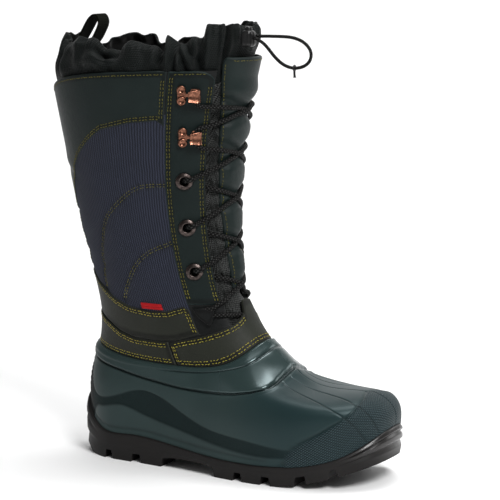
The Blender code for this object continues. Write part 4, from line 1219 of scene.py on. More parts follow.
def make_leather(green, stay, olive, dark, red):
    """Leather pieces of the shaft, as in the part."""
    def quarter(side):
        return lambda turn: edge(QUARTER, QUARTER_COLUMNS, side, turn)

    def above_collar(turn):
        return line(turn, "galosh_collar") + COLLAR_GAP

    def vamp_top(turn):
        return edge(VAMP_BAND, VAMP_BAND_COLUMNS, "high", turn)

    def cuff_low(turn):
        return edge(CUFF, CUFF_COLUMNS, "low", turn)

    def flat(z):
        return lambda turn: np.full(np.shape(turn), z)

    patch("quarter", "olive_leather", olive, QUARTER_TURN, 360 - QUARTER_TURN, quarter("low"),
          quarter("high"), QUARTER_TOP)
    patch("counter_band", "olive_leather", olive, COUNTER_TURN, 360 - COUNTER_TURN, above_collar,
          lambda turn: quarter("low")(turn) - SEAM_GAP, BAND_TOP)
    patch("vamp_band", "olive_leather", olive, -VAMP_TURN, VAMP_TURN, above_collar, vamp_top, BAND_TOP,
          step=BAND_STEP)
    patch("cuff_panel", "green_leather", green, CUFF_TURN, 360 - CUFF_TURN, cuff_low,
          lambda turn: line(turn, "shaft_top") + TOP_LAP, LEATHER_TOP)
    patch("back_stay", "green_leather", green, BACK_STAY_TURN, 360 - BACK_STAY_TURN, flat(BACK_STAY_LOW),
          lambda turn: cuff_low(turn) - SEAM_GAP, LEATHER_TOP)
    for side, sign in (("outer", 1), ("inner", -1)):
        start, end = sorted((sign * (THROAT_TURN + EYESTAY_SETBACK), sign * EYESTAY_REAR))
        holes = [shaft_surface(sign * EYELET_TURN, z) for z in EYELET_HEIGHTS]
        patch(f"eyestay_{side}", "green_leather", stay, start, end, eyestay_low, eyestay_top, LEATHER_TOP,
              step=EYESTAY_STEP, holes=holes)
        start, end = sorted(sign * turn for turn in LACE_TAB_TURNS)
        patch(f"lace_tab_{side}", "black_leather", dark, start, end, tab_low, flat(LACE_TAB_HEIGHTS[1]),
              LEATHER_TOP + TAB_RISE, step=TAB_STEP)
    patch("side_tag", "red_label", red, *TAG_TURNS, flat(TAG_HEIGHTS[0]), flat(TAG_HEIGHTS[1]),
          LEATHER_TOP + TAG_RISE, step=TAG_STEP)


# Galosh and sole

GALOSH_LINE_COLUMNS = ("turn", "level")
COLLAR_LINE = (
    (0, 0.955), (24, 0.93), (42, 0.905), (61, 0.90), (80, 0.91), (98, 0.90), (122, 0.86), (150, 0.86),
    (180, 0.86),
)
# Upper and lower edge of the matt band
BAND_HIGH = (
    (0, 0.05), (38, 0.08), (49, 0.12), (64, 0.16), (82, 0.29), (95, 0.43), (104, 0.46), (116, 0.37),
    (134, 0.26), (146, 0.26), (152, 0.34), (158, 0.50), (180, 0.54),
)
BAND_LOW = (
    (0, 0.02), (38, 0.04), (49, 0.05), (64, 0.08), (84, 0.13), (102, 0.19), (116, 0.24), (135, 0.18),
    (144, 0.11), (150, -0.02), (180, -0.02),
)
HEEL_TURNS = (146.0, 153.0)
POLISH_TURNS = (52.0, 74.0)
VAMP_SHADE_TURNS = (36.0, 60.0)
# Ridge lines over the vamp: levels, and the turn of each line at each of them
CREASE_LEVELS = (0.0, 0.13, 0.30, 0.48, 0.62, 0.80)
VAMP_CREASES = (
    (15.5, 19.5, 24.0, 24.2, 23.4, 23.4),
    (10.5, 13.5, 16.0, 14.2, 12.0, 13.0),
    (0.0, 0.0, 0.0, 0.0, 0.0, 0.0),
)
CREASE_DEPTH = 0.0006
CREASE_HALF = 0.0008
CREASE_SHADE = 0.75
VAMP_LEVELS = (0.0, 0.03)
VAMP_END = (-0.004, -0.001)
# Moulded lines and steps: where they are, their depth or rise, and their half width
SADDLE_GROOVE = 0.0014
SADDLE_GROOVE_HALF = 0.0011
SADDLE_RISE = 0.0006
SADDLE_RISE_WIDTH = 0.004
LIP_BELOW = 0.0030
LIP_RISE = 0.0007
LIP_HALF = 0.0016
LIP_END = (40.0, 60.0)
COLLAR_LINE_END = (84.0, 98.0)
COLLAR_GROOVE = 0.0010
COLLAR_GROOVE_HALF = 0.0009
COLLAR_RISE = 0.0004
COLLAR_RISE_WIDTH = 0.003
CAP_END = (39.0, 41.0)
CAP_LINE_ABOVE = 0.012
CAP_GROOVE = 0.0007
CAP_GROOVE_HALF = 0.0010
CAP_RISE = 0.0008
CAP_EDGE = (-0.0004, 0.0008)
SOLE_BEAD = 0.0032
BEAD_START = (41.0, 46.0)
BEAD_GROOVE = 0.0005
BEAD_HALF = 0.0008
BACK_LINE_TURN = 161.0
BACK_LINE_START = (0.12, 0.18)
BACK_LINE_END = (0.70, 0.78)
BACK_LINE_GROOVE = 0.0007
BACK_LINE_HALF = 0.0009
BAND_START = (36.0, 40.0)
BAND_EDGE = (-0.0006, 0.0006)
BAND_SINK = 0.0006
BAND_LINE_HALF = 0.0009
BAND_LINE_START = (40.0, 44.0)
BAND_LINE_END = (140.0, 148.0)
BACK_RIB_START = (164.0, 169.0)
BACK_RIB_END = (0.84, 0.90)
BACK_RIB_RISE = 0.0007
BACK_RIB_PITCH = 0.0042
# How strong the painted shade in the moulded lines is, beside that in the saddle's groove
COLLAR_SHADE = 0.8
CAP_SHADE = 0.5
BEAD_SHADE = 0.5
BACK_LINE_SHADE = 0.7
BAND_LINE_SHADE = 0.6
# Polish of the front: its least share, and where it grows towards the saddle
POLISH_LEAST = 0.08
POLISH_NEAR = (-0.010, 0.002)
VAMP_SHADE_NEAR = (-0.006, 0.0)
GALOSH_LINE_STEPS = np.array([0.0004, 0.0008, 0.0013, 0.0019, 0.0027])
GALOSH_CLIMB_ROWS = 80
GALOSH_LOW_ROWS = 92
GALOSH_MID_ROWS = 22
GALOSH_TOP_ROWS = 9
GALOSH_INSIDE_ROWS = 24
GALOSH_INSIDE_STEP = 3.0
GALOSH_SIDE_START = 31.5
GALOSH_SIDE_STEP = 1.5
GALOSH_FRONT_TURN = 31.0
GALOSH_FRONT_STEP = 0.3
RIM_ROUND = 0.0011
RIM_START = 0.2
RIM_ROWS = 8


def level_of(table, turn):
    """Level of a line round the galosh."""
    turns = column(table, GALOSH_LINE_COLUMNS, "turn")
    levels = column(table, GALOSH_LINE_COLUMNS, "level")
    return around(turns, levels, levels, turn)


def galosh_rows(turns, tall):
    """Levels of the mesh rows at each turn, close together beside the saddle's edge and the collar line."""
    saddle = edge(SADDLE, SADDLE_COLUMNS, "level", turns)
    collar = level_of(COLLAR_LINE, turns)
    steps = GALOSH_LINE_STEPS[:, None] / tall

    def between(low, high, rows):
        return low + np.linspace(0, 1, rows)[:, None] * (high - low)

    rows = [between(0 * saddle, saddle - steps[-1], GALOSH_LOW_ROWS)[:-1], saddle - steps[::-1], saddle[None],
            saddle + steps, between(saddle + steps[-1], collar - steps[-1], GALOSH_MID_ROWS)[1:-1],
            collar - steps[::-1], collar[None], collar + steps[:-1],
            between(collar + steps[-1], 0 * collar + 1, GALOSH_TOP_ROWS)]
    return np.concatenate(rows)


def galosh_lift(turn, level, tall, wide):
    """Moulded lines of the galosh, with how far each point lies in the painted shade of a groove, on the toe
    cap, the matt band, its black heel and the polished front, and in the painted shade over the vamp."""
    side = folded(turn)
    cap_line = edge(TOE_CAP, TOE_CAP_COLUMNS, "level", turn)
    from_saddle = (level - edge(SADDLE, SADDLE_COLUMNS, "level", turn)) * tall
    from_collar = (level - level_of(COLLAR_LINE, turn)) * tall
    on_front = 1 - smooth(side, *CAP_END)
    cap_edge = trough((level - cap_line - CAP_LINE_ABOVE) * tall, CAP_GROOVE_HALF) * on_front
    saddle_edge = trough(from_saddle, SADDLE_GROOVE_HALF)
    collar_edge = trough(from_collar, COLLAR_GROOVE_HALF) * (1 - smooth(side, *COLLAR_LINE_END))
    lip = trough(from_saddle + LIP_BELOW, LIP_HALF) * (1 - smooth(side, *LIP_END))
    lift = SADDLE_RISE * smooth(from_saddle, 0.0, SADDLE_RISE_WIDTH) - SADDLE_GROOVE * saddle_edge
    lift = lift + LIP_RISE * lip - COLLAR_GROOVE * collar_edge - CAP_GROOVE * cap_edge
    lift = lift + COLLAR_RISE * smooth(from_collar, 0.0, COLLAR_RISE_WIDTH)
    bead = trough(level * tall - SOLE_BEAD, BEAD_HALF) * smooth(side, *BEAD_START)
    back_line = trough((side - BACK_LINE_TURN) * wide, BACK_LINE_HALF)
    back_line = back_line * smooth(level, *BACK_LINE_START) * (1 - smooth(level, *BACK_LINE_END))
    lift = lift - BEAD_GROOVE * bead - BACK_LINE_GROOVE * back_line
    # Painted shade in the grooves: share of it in each moulded line and crease
    groove = np.maximum(np.maximum(saddle_edge, COLLAR_SHADE * collar_edge), CAP_SHADE * cap_edge)
    groove = np.maximum(groove, np.maximum(BEAD_SHADE * bead, BACK_LINE_SHADE * back_line))
    on_vamp = smooth(level, *VAMP_LEVELS) * (1 - smooth(from_saddle, *VAMP_END))
    for turns in VAMP_CREASES:
        at = cubic(CREASE_LEVELS, np.array(turns), np.clip(level, 0, CREASE_LEVELS[-1]))
        crease = trough((side - at) * wide, CREASE_HALF) * on_vamp
        lift = lift - CREASE_DEPTH * crease
        groove = np.maximum(groove, CREASE_SHADE * crease)
    above_low = (level - level_of(BAND_LOW, turn)) * tall
    below_high = (level_of(BAND_HIGH, turn) - level) * tall
    band = smooth(below_high, *BAND_EDGE) * smooth(above_low, *BAND_EDGE) * smooth(side, *BAND_START)
    band_line = trough(above_low, BAND_LINE_HALF) * smooth(side, *BAND_LINE_START)
    groove = np.maximum(groove, BAND_LINE_SHADE * band_line * (1 - smooth(side, *BAND_LINE_END)))
    rib = smooth(side, *BACK_RIB_START) * (1 - smooth(level, *BACK_RIB_END))
    cap = smooth((cap_line - level) * tall, *CAP_EDGE) * on_front
    lift = lift - BAND_SINK * band + CAP_RISE * cap
    lift = lift + BACK_RIB_RISE * rib * np.sin(2 * math.pi * level * tall / BACK_RIB_PITCH)
    heel = band * smooth(side, *HEEL_TURNS)
    near_saddle = POLISH_LEAST + (1 - POLISH_LEAST) * smooth(from_saddle, *POLISH_NEAR)
    polish = (1 - smooth(side, *POLISH_TURNS)) * near_saddle
    # Share of painted shade over the vamp
    vamp = (1 - smooth(side, *VAMP_SHADE_TURNS)) * (1 - smooth(from_saddle, *VAMP_SHADE_NEAR))
    return lift, {"groove": groove, "cap": cap, "band": band, "heel": heel, "polish": polish, "vamp": vamp}


def make_galosh(rubber, lining):
    """Rubber foot with its moulded lines, a rounded rim and a lining."""
    side = turns_between(GALOSH_SIDE_START, 180, GALOSH_SIDE_STEP)
    front = turns_between(-GALOSH_FRONT_TURN, GALOSH_FRONT_TURN, GALOSH_FRONT_STEP)
    turns = np.concatenate([-side[::-1], front, side])
    climb = galosh_surface(turns, np.linspace(0, 1, GALOSH_CLIMB_ROWS)[:, None])
    tall = np.linalg.norm(np.diff(climb, axis=0), axis=-1).sum(0)
    level = galosh_rows(turns, tall)
    turn = np.broadcast_to(turns, level.shape)
    base = galosh_surface(turn, level)
    step = np.linalg.norm(np.diff(base, axis=1), axis=-1) / np.diff(turns)
    wide = np.concatenate([step, step[:, -1:]], 1)
    lift, marks = galosh_lift(turn, level, tall, wide)
    outside = base + lift[..., None] * normal(galosh_surface, turn, level, LEVEL_STEP)
    collar = line(turns, "galosh_collar")
    rim = []
    for angle in np.linspace(RIM_START, math.pi, RIM_ROWS):
        over = GAP + GALOSH_WALL * (0.5 + 0.5 * math.cos(angle))
        rim.append(raised(shaft_surface, turns, collar + RIM_ROUND * math.sin(angle), over))
    fade = np.zeros((len(rim), len(turns)))
    marks = {name: np.concatenate([mark, fade]) for name, mark in marks.items()}
    skin = net(np.concatenate([outside, rim]), **marks)
    coarse = turns_between(-180, 180, GALOSH_INSIDE_STEP)
    inner_turn, inner_level = np.meshgrid(coarse, np.linspace(0, 1, GALOSH_INSIDE_ROWS))
    inside = raised(galosh_surface, inner_turn, inner_level, -GALOSH_WALL)
    inside[-1] = raised(shaft_surface, coarse, line(coarse, "galosh_collar"), GAP)
    piece = make_piece("galosh_skin", [skin, net(inside, slot=1, flip=True)], [rubber, lining])
    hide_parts("galosh")


SOLE_SPLIT = 4
SOLE_ROWS = 34
SOLE_SOFT = 0.018
SOLE_SAMPLES = 401
SOLE_SHARP = 35.0
LUG_BEVEL = 0.0006
LUG_BEVEL_FROM = 38.0
# Where the toe bumper begins to shine
SHINE_X = (0.225, 0.245)
SHINE_Z = (0.024, 0.036)
# Cells across the sole that stand down in each kind of tread row
LUG_CELLS = {"block": (0, 1, 2, 3, 4), "lugs": (0, 2, 4), "pad": (2,), "pad_lugs": (0, 2, 4)}


def finer(values, split):
    """Each step of a list cut into equal parts."""
    steps = [np.linspace(a, b, split, endpoint=False) for a, b in zip(values, values[1:])]
    return np.concatenate(steps + [[values[-1]]])


def soft_profile(drops, outs, at):
    """Sole side profile with its corners rounded."""
    dense = np.linspace(0, 1, SOLE_SAMPLES)
    raw = np.interp(dense, drops, outs)
    weights = np.exp(-((dense[:, None] - dense[None, :]) / SOLE_SOFT) ** 2)
    return np.interp(at, dense, weights @ raw / weights.sum(1))


def make_outsole(material):
    """Rubber cup with its ribbed side and lugs, its edges rounded."""
    half_turns = finer(RUNGS, SOLE_SPLIT)
    tread = [kind for kind in TREAD for _ in range(SOLE_SPLIT)]
    turns = np.concatenate([half_turns, -half_turns[-2:0:-1]])
    count, half = len(turns), len(half_turns) - 1
    side = np.abs(turns)
    rim = foot(turns, "rim_z") - GAP
    top = raised(galosh_surface, turns, 0.0, -GALOSH_WALL) - np.array([0, 0, GAP])
    bed = top.copy()
    bed[:, :2] -= BED_INSET * foot_outward(turns)
    bed[:, 2] = foot(turns, "bed_z")
    arch = smooth(side, *ARCH_TURNS[:2]) * (1 - smooth(side, *ARCH_TURNS[2:]))
    root = ground(foot_plan(turns)[:, 0]) + LUG_DEPTH + ARCH_LIFT * arch
    rib = np.maximum(1 - smooth(side, *TOE_RIB_TURNS), smooth(side, *HEEL_RIB_TURNS))
    table = np.array(SOLE_SIDE)
    rings = [bed, top]
    for drop in np.linspace(0, 1, SOLE_ROWS):
        side_out = soft_profile(table[:, 0], table[:, 1], drop)
        rib_out = soft_profile(table[:, 0], table[:, 2], drop)
        out = side_out + rib * (rib_out - side_out)
        plan = foot_plan(turns) + out[:, None] * foot_outward(turns)
        rings.append(np.column_stack([plan, rim + drop * (root - rim)]))
    vertices = [point for ring in rings for point in ring]
    faces = []
    for r in range(len(rings) - 1):
        for c in range(count):
            n = (c + 1) % count
            faces.append((r * count + c, r * count + n, (r + 1) * count + n, (r + 1) * count + c))
    for c in range(half):
        corners = (c, c + 1, (count - c - 1) % count, (count - c) % count)
        faces.append(tuple(dict.fromkeys(corners)))
    add_tread(vertices, faces, (len(rings) - 1) * count, count, half, tread)
    work = bmesh.new()
    made = [work.verts.new(tuple(float(v) for v in point)) for point in vertices]
    for corners in faces:
        work.faces.new([made[i] for i in corners])
    bmesh.ops.delete(work, geom=[v for v in work.verts if not v.link_faces], context="VERTS")
    bmesh.ops.recalc_face_normals(work, faces=work.faces)
    mesh = bpy.data.meshes.new("outsole_skin")
    work.to_mesh(mesh)
    work.free()
    places = np.array([vertex.co for vertex in mesh.vertices])
    shine = smooth(places[:, 0], *SHINE_X) * smooth(places[:, 2], *SHINE_Z)
    mesh.attributes.new("shine", "FLOAT", "POINT").data.foreach_set("value", shine.astype(np.float32))
    mesh.shade_smooth()
    mesh.set_sharp_from_angle(angle=math.radians(SOLE_SHARP))
    mesh.materials.append(material)
    piece = bpy.data.objects.new("outsole_skin", mesh)
    bpy.context.scene.collection.objects.link(piece)
    bevel = piece.modifiers.new("rounded_edges", "BEVEL")
    bevel.width = LUG_BEVEL
    bevel.segments = 2
    bevel.limit_method = "ANGLE"
    bevel.angle_limit = math.radians(LUG_BEVEL_FROM)
    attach(piece, "root")
    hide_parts("outsole")


def add_tread(vertices, faces, last, count, half, tread):
    """Underside of the sole: cells between rungs, some of them brought down as lugs."""
    rungs = []
    for i in range(half + 1):
        outer, inner = last + i, last + (count - i) % count
        if outer == inner:
            rungs.append([outer] * len(TREAD_SHARES))
            continue
        rung = [outer]
        for share in TREAD_SHARES[1:-1]:
            rung.append(len(vertices))
            vertices.append(vertices[outer] + share * (vertices[inner] - vertices[outer]))
        rungs.append(rung + [inner])
    cells = len(TREAD_SHARES) - 1
    down = {}
    for row, kind in enumerate(tread):
        for cell in range(cells):
            near, far = rungs[row], rungs[row + 1]
            corners = tuple(dict.fromkeys((near[cell], near[cell + 1], far[cell + 1], far[cell])))
            if cell in LUG_CELLS.get(kind, ()):
                down[(row, cell)] = corners
            elif len(corners) > 2:
                faces.append(corners)
    while down:
        add_lug(vertices, faces, grow_lug(down))


def grow_lug(down):
    """Take one group of touching tread cells out of those that stand down."""
    group = []
    waiting = [next(iter(down))]
    while waiting:
        row, cell = waiting.pop()
        if (row, cell) not in down:
            continue
        group.append(down.pop((row, cell)))
        waiting += [(row + 1, cell), (row - 1, cell), (row, cell + 1), (row, cell - 1)]
    return [corners for corners in group if len(corners) > 2]


def add_lug(vertices, faces, lug_faces):
    """One lug: its cells brought down to the ground, tapered along the foot, with walls round them."""
    used = sorted({i for corners in lug_faces for i in corners})
    middle = sum(vertices[i][0] for i in used) / len(used)
    lowered = {}
    for i in used:
        point = np.array(vertices[i])
        point[0] = middle + LUG_TAPER * (point[0] - middle)
        point[2] = ground(point[0])
        lowered[i] = len(vertices)
        vertices.append(point)
    edges = set()
    for corners in lug_faces:
        faces.append(tuple(lowered[i] for i in corners))
        edges.update(zip(corners, corners[1:] + corners[:1]))
    for a, b in sorted(edges):
        if (b, a) not in edges:
            faces.append((a, b, lowered[b], lowered[a]))


INSOLE_STEP = 2.0
INSOLE_ROUND = 0.03
INSOLE_EDGE_RISE = 0.4
INSOLE_SHARES = np.concatenate([[0, 0, 0.01, 0.03], np.linspace(0.07, 0.93, 26), [0.97, 0.99, 1, 1]])


def make_insole(felt):
    """Loose footbed with rounded edges."""
    turns = turns_between(0, 180, INSOLE_STEP)
    inset = GALOSH_WALL + INSOLE_MARGIN
    outer = foot_plan(turns) - inset * foot_outward(turns)
    inner = foot_plan(-turns) - inset * foot_outward(-turns)
    plan = outer + INSOLE_SHARES[:, None, None] * (inner - outer)
    from_edge = np.minimum(INSOLE_SHARES, 1 - INSOLE_SHARES)
    rise = INSOLE_THICK * quarter_round(from_edge / INSOLE_ROUND)
    rise[[0, -1]] = 0
    rise[[1, -2]] = INSOLE_THICK * INSOLE_EDGE_RISE
    z = foot(turns, "bed_z") + GAP + rise[:, None]
    piece = make_piece("insole_skin", [net(np.concatenate([plan, z[..., None]], -1), flip=True)], [felt])
    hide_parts("insole")


# Shaft, tongue and snow cuff

# Quilting seams of the cloth
# Columns: turn, z
QUILT_ARCS = (
    (
        (62, 0.2655), (80, 0.2630), (95, 0.2500), (111.5, 0.2300), (120, 0.2100), (129.5, 0.1820),
        (134, 0.1600),
    ),
    ((62, 0.2125), (68.5, 0.2090), (81, 0.2020), (96, 0.1860), (109, 0.1650), (114, 0.1540)),
)
ARC_POINTS = 160
ARC_SPACING = 3
# Length of one turn on the shaft, for distances from the arcs
TURN_LENGTH = 0.0013
QUILT_GROOVE = 0.0010
QUILT_GROOVE_HALF = 0.0024
QUILT_SHADE_HALF = 0.0028
QUILT_SWELL = 0.0009
QUILT_SWELL_HALF = 0.014
CLOTH_TURNS = (61.5, 166.0)
CLOTH_HEIGHTS = (0.142, 0.330)
SHAFT_TURN_STEP = 1.5
SHAFT_LOW_ROWS = 14
SHAFT_HIGH_ROWS = 91
SHAFT_SHARP = 50


def arc_points(arc, offset=0.0):
    """Turns and heights along a quilting arc, or beside it."""
    knots = np.linspace(0, 1, len(arc))
    points = cubic(knots, np.array(arc), np.linspace(0, 1, ARC_POINTS)) * np.array([TURN_LENGTH, 1.0])
    ahead = headings(points)
    points = points + offset * np.stack([-ahead[:, 1], ahead[:, 0]], -1)
    return points[:, 0] / TURN_LENGTH, points[:, 1]


def quilt(turn, z):
    """Relief of the stitched cloth panels: grooves along the arcs and a slight swell between them, with the
    share of painted shade near the arcs.
    """
    place = np.stack([folded(turn) * TURN_LENGTH, z], -1)
    near = np.full(z.shape, 1.0)
    for arc in QUILT_ARCS:
        stops = np.stack(arc_points(arc), -1) * np.array([TURN_LENGTH, 1.0])
        for stop in stops[::ARC_SPACING]:
            near = np.minimum(near, np.linalg.norm(place - stop, axis=-1))
    relief = QUILT_SWELL * (1 - trough(near, QUILT_SWELL_HALF))
    return relief - QUILT_GROOVE * trough(near, QUILT_GROOVE_HALF), trough(near, QUILT_SHADE_HALF)


def make_shaft(cloth, lining, leather):
    """Shaft of quilted cloth and leather with its lining, open at the throat and at the eyelets."""
    turns = turns_between(-180, 180, SHAFT_TURN_STEP)
    turns = np.unique(np.concatenate([turns, [-THROAT_TURN, THROAT_TURN]]))
    low = line(turns, "galosh_collar") - SHAFT_TUCK
    base = throat_line(turns)
    top = line(turns, "shaft_top")
    below = np.linspace(0, 1, SHAFT_LOW_ROWS)[:, None]
    above = np.linspace(0, 1, SHAFT_HIGH_ROWS)[1:, None]
    z = np.concatenate([low + below * (base - low), base + above * (top - base)])
    turn = np.broadcast_to(turns, z.shape)
    pulled_in = SHAFT_TUCK_IN * (1 - smooth(z, low, low + SHAFT_TUCK))
    # seam: share of painted shade along the quilting arcs
    relief, seam = quilt(turn, z)
    lift = shaft_dent(turn, z) + relief - pulled_in
    outside = raised(shaft_surface, turn, z, lift)
    inside = raised(shaft_surface, turn, z, -SHAFT_WALL - pulled_in)
    sill = len(below) - 1
    in_throat = (np.abs(turns[:-1]) <= THROAT_TURN) & (np.abs(turns[1:]) <= THROAT_TURN)
    keep = np.ones((len(z) - 1, len(turns) - 1), bool)
    keep[sill:, in_throat] = False
    centre = (outside[:-1, :-1] + outside[1:, 1:]) / 2
    for sign in (1, -1):
        for height in EYELET_HEIGHTS:
            hole = shaft_surface(sign * EYELET_TURN, height)
            keep &= np.linalg.norm(centre - hole, axis=-1) > EYELET_HOLE
    middle_turn = folded((turns[:-1] + turns[1:]) / 2)
    middle_z = (z[:-1, :-1] + z[1:, 1:]) / 2
    cloth_area = (middle_turn > CLOTH_TURNS[0]) & (middle_turn < CLOTH_TURNS[1])
    cloth_area = cloth_area & (middle_z > CLOTH_HEIGHTS[0]) & (middle_z < CLOTH_HEIGHTS[1])
    nets = [net(outside, keep=keep & cloth_area, quilt=seam), net(outside, slot=2, keep=keep & ~cloth_area)]
    nets.append(net(inside, slot=1, flip=True, keep=keep))
    walled = ~in_throat[None, :]
    nets.append(net(np.stack([outside[-1], inside[-1]]), slot=2, keep=walled))
    front = np.flatnonzero(np.abs(turns) <= THROAT_TURN)
    nets.append(net(np.stack([outside[sill, front], inside[sill, front]]), slot=2))
    for side in (front[0], front[-1]):
        nets.append(net(np.stack([outside[sill:, side], inside[sill:, side]]), slot=2))
    piece = make_piece("shaft_skin", nets, [cloth, lining, leather], sharp=SHAFT_SHARP)
    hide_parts("shaft")


LACE_PINCH = 0.0030
PINCH_HALF = 0.0050
LACE_BOW = 0.0045
TONGUE_STEP = 0.75
TONGUE_ROWS = 120
TONGUE_SHARP = 60
GUSSET_TURN = 26.0
GUSSET_HALF = 7.0
# Slack waves of the gusset: height, pitch up the tongue, and rates of their waver in radians
SLACK_HEIGHT = 0.0011
SLACK_PITCH = 0.019
SLACK_WAVER = 0.35
SLACK_WAVER_RATE = 0.4
SLACK_TURN_RATE = 0.55
SLACK_Z_RATE = 60.0


def lace_lines(turn, z):
    """Distance of each point of the tongue from the nearest lace strand."""
    near = np.full(np.broadcast(turn, z).shape, 1.0)
    for low, high in zip(LACE_HEIGHTS, LACE_HEIGHTS[1:]):
        for sign in (1, -1):
            lace_z = (low + high) / 2 + sign * turn / EYELET_TURN * (high - low) / 2 + LACE_BOW
            near = np.minimum(near, np.abs(z - lace_z))
    return near


def make_tongue(cloth, lining):
    """Padded tongue: slack gussets at its sides, pressed in under the laces."""
    turns = turns_between(-TONGUE_TURN, TONGUE_TURN, TONGUE_STEP)
    low = np.full(turns.shape, TONGUE_LOW)
    high = gaiter_base(turns) - TONGUE_TOP_GAP
    z = low + np.linspace(0, 1, TONGUE_ROWS)[:, None] * (high - low)
    turn = np.broadcast_to(turns, z.shape)
    gusset = trough(np.abs(turn) - GUSSET_TURN, GUSSET_HALF)
    waver = SLACK_WAVER * np.sin(turn * SLACK_WAVER_RATE)
    slack = np.sin(2 * math.pi * (z / SLACK_PITCH + waver))
    slack = slack * np.sin(turn * SLACK_TURN_RATE + z * SLACK_Z_RATE)
    lift = SLACK_HEIGHT * gusset * slack - LACE_PINCH * trough(lace_lines(turn, z), PINCH_HALF)
    outside = raised(tongue_surface, turn, z, lift)
    inside = raised(tongue_surface, turn, z, -TONGUE_THICK)
    nets = [net(outside), net(inside, slot=1, flip=True)]
    for row in (0, -1):
        nets.append(net(np.stack([outside[row], inside[row]]), slot=1))
    for side in (0, -1):
        nets.append(net(np.stack([outside[:, side], inside[:, side]]), slot=1))
    piece = make_piece("tongue_skin", nets, [cloth, lining], sharp=TONGUE_SHARP)
    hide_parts("tongue")


PANEL_CORNER = 0.009
PANEL_CORNER_TURN = 4.0
PANEL_SWELL = 0.0024
PANEL_SWELL_FROM = (0.002, 0.012)
PANEL_SWELL_INSET = (0.0, 0.010)
PANEL_HELD_FROM = (0.168, 0.185)
PANEL_HELD_TO = (0.352, 0.366)
PANEL_SEAM_HALF = 0.003
PANEL_SEAM_SHADE = 0.7
PANEL_STEP_UP = 0.0018
PANEL_WIDTH = 0.05
PANEL_STEP = 0.0016


def panel_half_turn(z):
    """Half width of the tongue's leather face, with round upper corners."""
    heights = column(TONGUE_PANEL, TONGUE_PANEL_COLUMNS, "z")
    half = cubic(heights, column(TONGUE_PANEL, TONGUE_PANEL_COLUMNS, "half_turn"), z)
    corner = quarter_round((heights[-1] - z) / PANEL_CORNER)
    return half - PANEL_CORNER_TURN * (1 - corner)


def panel_lift(turn, z, inset):
    """Outside of the tongue's leather face: swollen between the laces, pinched under them."""
    near = lace_lines(turn, z)
    held = smooth(z, *PANEL_HELD_FROM) * (1 - smooth(z, *PANEL_HELD_TO))
    swell = PANEL_SWELL * smooth(near, *PANEL_SWELL_FROM) * smooth(inset, *PANEL_SWELL_INSET)
    pinch = LACE_PINCH * trough(near, PINCH_HALF)
    return (PANEL_GAP + LEATHER) * quarter_round(inset / EDGE_ROUND) + (swell - pinch) * held


def make_tongue_panel(leather):
    """Leather face of the tongue."""
    low, high = TONGUE_PANEL[0][0], TONGUE_PANEL[-1][0]
    up = spaced(high - low, PANEL_STEP_UP)
    z = (low + up)[:, None]
    share = 2 * spaced(PANEL_WIDTH, PANEL_STEP) / PANEL_WIDTH - 1
    turn = panel_half_turn(z) * share
    z = np.broadcast_to(z, turn.shape)
    length = np.linalg.norm(shaft_surface(1.0, z) - shaft_surface(0.0, z), axis=-1)
    from_side = (1 - np.abs(share)) * panel_half_turn(z) * length
    from_end = np.broadcast_to(np.minimum(up, high - low - up)[:, None], turn.shape)
    inset = np.minimum(from_side, from_end)
    points = raised(tongue_surface, turn, z, panel_lift(turn, z, inset))
    # Painted shade along the panel's seams
    seam = PANEL_SEAM_SHADE * trough(inset, PANEL_SEAM_HALF)
    skin = net(points, edge=trough(inset, WEAR_WIDTH), seam=seam)
    piece = make_piece("tongue_panel_skin", [skin], [leather])
    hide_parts("tongue_panel")


# Fine gathers of the snow cuff: waves round it, height, phase
GATHERS = ((17, 0.0010, 0.4), (29, 0.0009, 1.9), (47, 0.0006, 0.8))
GATHER_WAVER = 1.3
GATHER_WAVER_COUNT = 5
GATHER_SHARES = (0.22, 0.95)
# Pleats of the outer side: turn, slant, half width in turns, depth
PLEATS = (
    (29.5, 0, 1.5, 0.0062), (46, 2, 1.8, 0.0070), (51, 16, 2.0, 0.0046), (56.5, 10, 1.7, 0.0052),
    (60.5, 1, 1.5, 0.0066), (67.5, -5, 2.4, 0.0046), (76, 5, 2.6, 0.0018), (84, -4, 3.0, 0.0020),
    (93, 6, 3.4, 0.0026), (99, 7, 2.6, 0.0036), (113, -6, 3.4, 0.0022), (125, 5, 4.0, 0.0028),
    (139, -6, 4.0, 0.0026), (152, 4, 4.5, 0.0024), (168, -3, 4.0, 0.0024),
)
PLEAT_SHARES = (0.08, 0.70)
PLEAT_MIDDLE = 0.7
PLEAT_RIDGE = 0.45
PLEAT_RIDGE_AWAY = 2.1
# Slack rolls of cloth: turn, share of the height, half width in turns, half height, lift
ROLLS = (
    (104, 0.58, 11, 0.11, 0.0034), (101, 0.83, 6, 0.07, -0.0060), (100, 0.70, 6, 0.05, 0.0024),
    (130, 0.50, 15, 0.20, 0.0026), (80, 0.40, 10, 0.17, 0.0018), (58, 0.38, 8, 0.15, 0.0022),
    (150, 0.72, 12, 0.10, -0.0020), (38, 0.50, 5, 0.30, 0.0026), (120, 0.86, 9, 0.07, 0.0020),
)
# Rise of the rim above the part's own: turn, rise
RIM_RISE = (
    (0, 0.0), (44, 0.0), (46.5, -0.0010), (49, -0.0020), (52, -0.0045), (57, -0.0045), (60.5, 0.0),
    (64, 0.0040), (66, 0.0010), (68, -0.0050), (72, -0.0030), (79, 0.0007), (87, 0.0020), (93, -0.0015),
    (100, -0.0055), (104, -0.0020), (108, 0.0), (180, 0.0),
)
RIM_SHARES = (0.35, 1.0)
CUFF_CLOTH = 0.0028
CUFF_STEP = 0.6
CUFF_ROWS = 64
CUFF_INSIDE_ROWS = 44
CUFF_ROLL_START = 0.3
CUFF_ROLL_ROWS = 7
HEM_MIDDLE = 0.90
HEM_HALF = 0.09
HEM_SWELL = 0.0008
PUCKER = 0.0004
PUCKER_COUNT = 96
PUCKER_WAVER_COUNT = 13
PUCKER_WAVER = 2


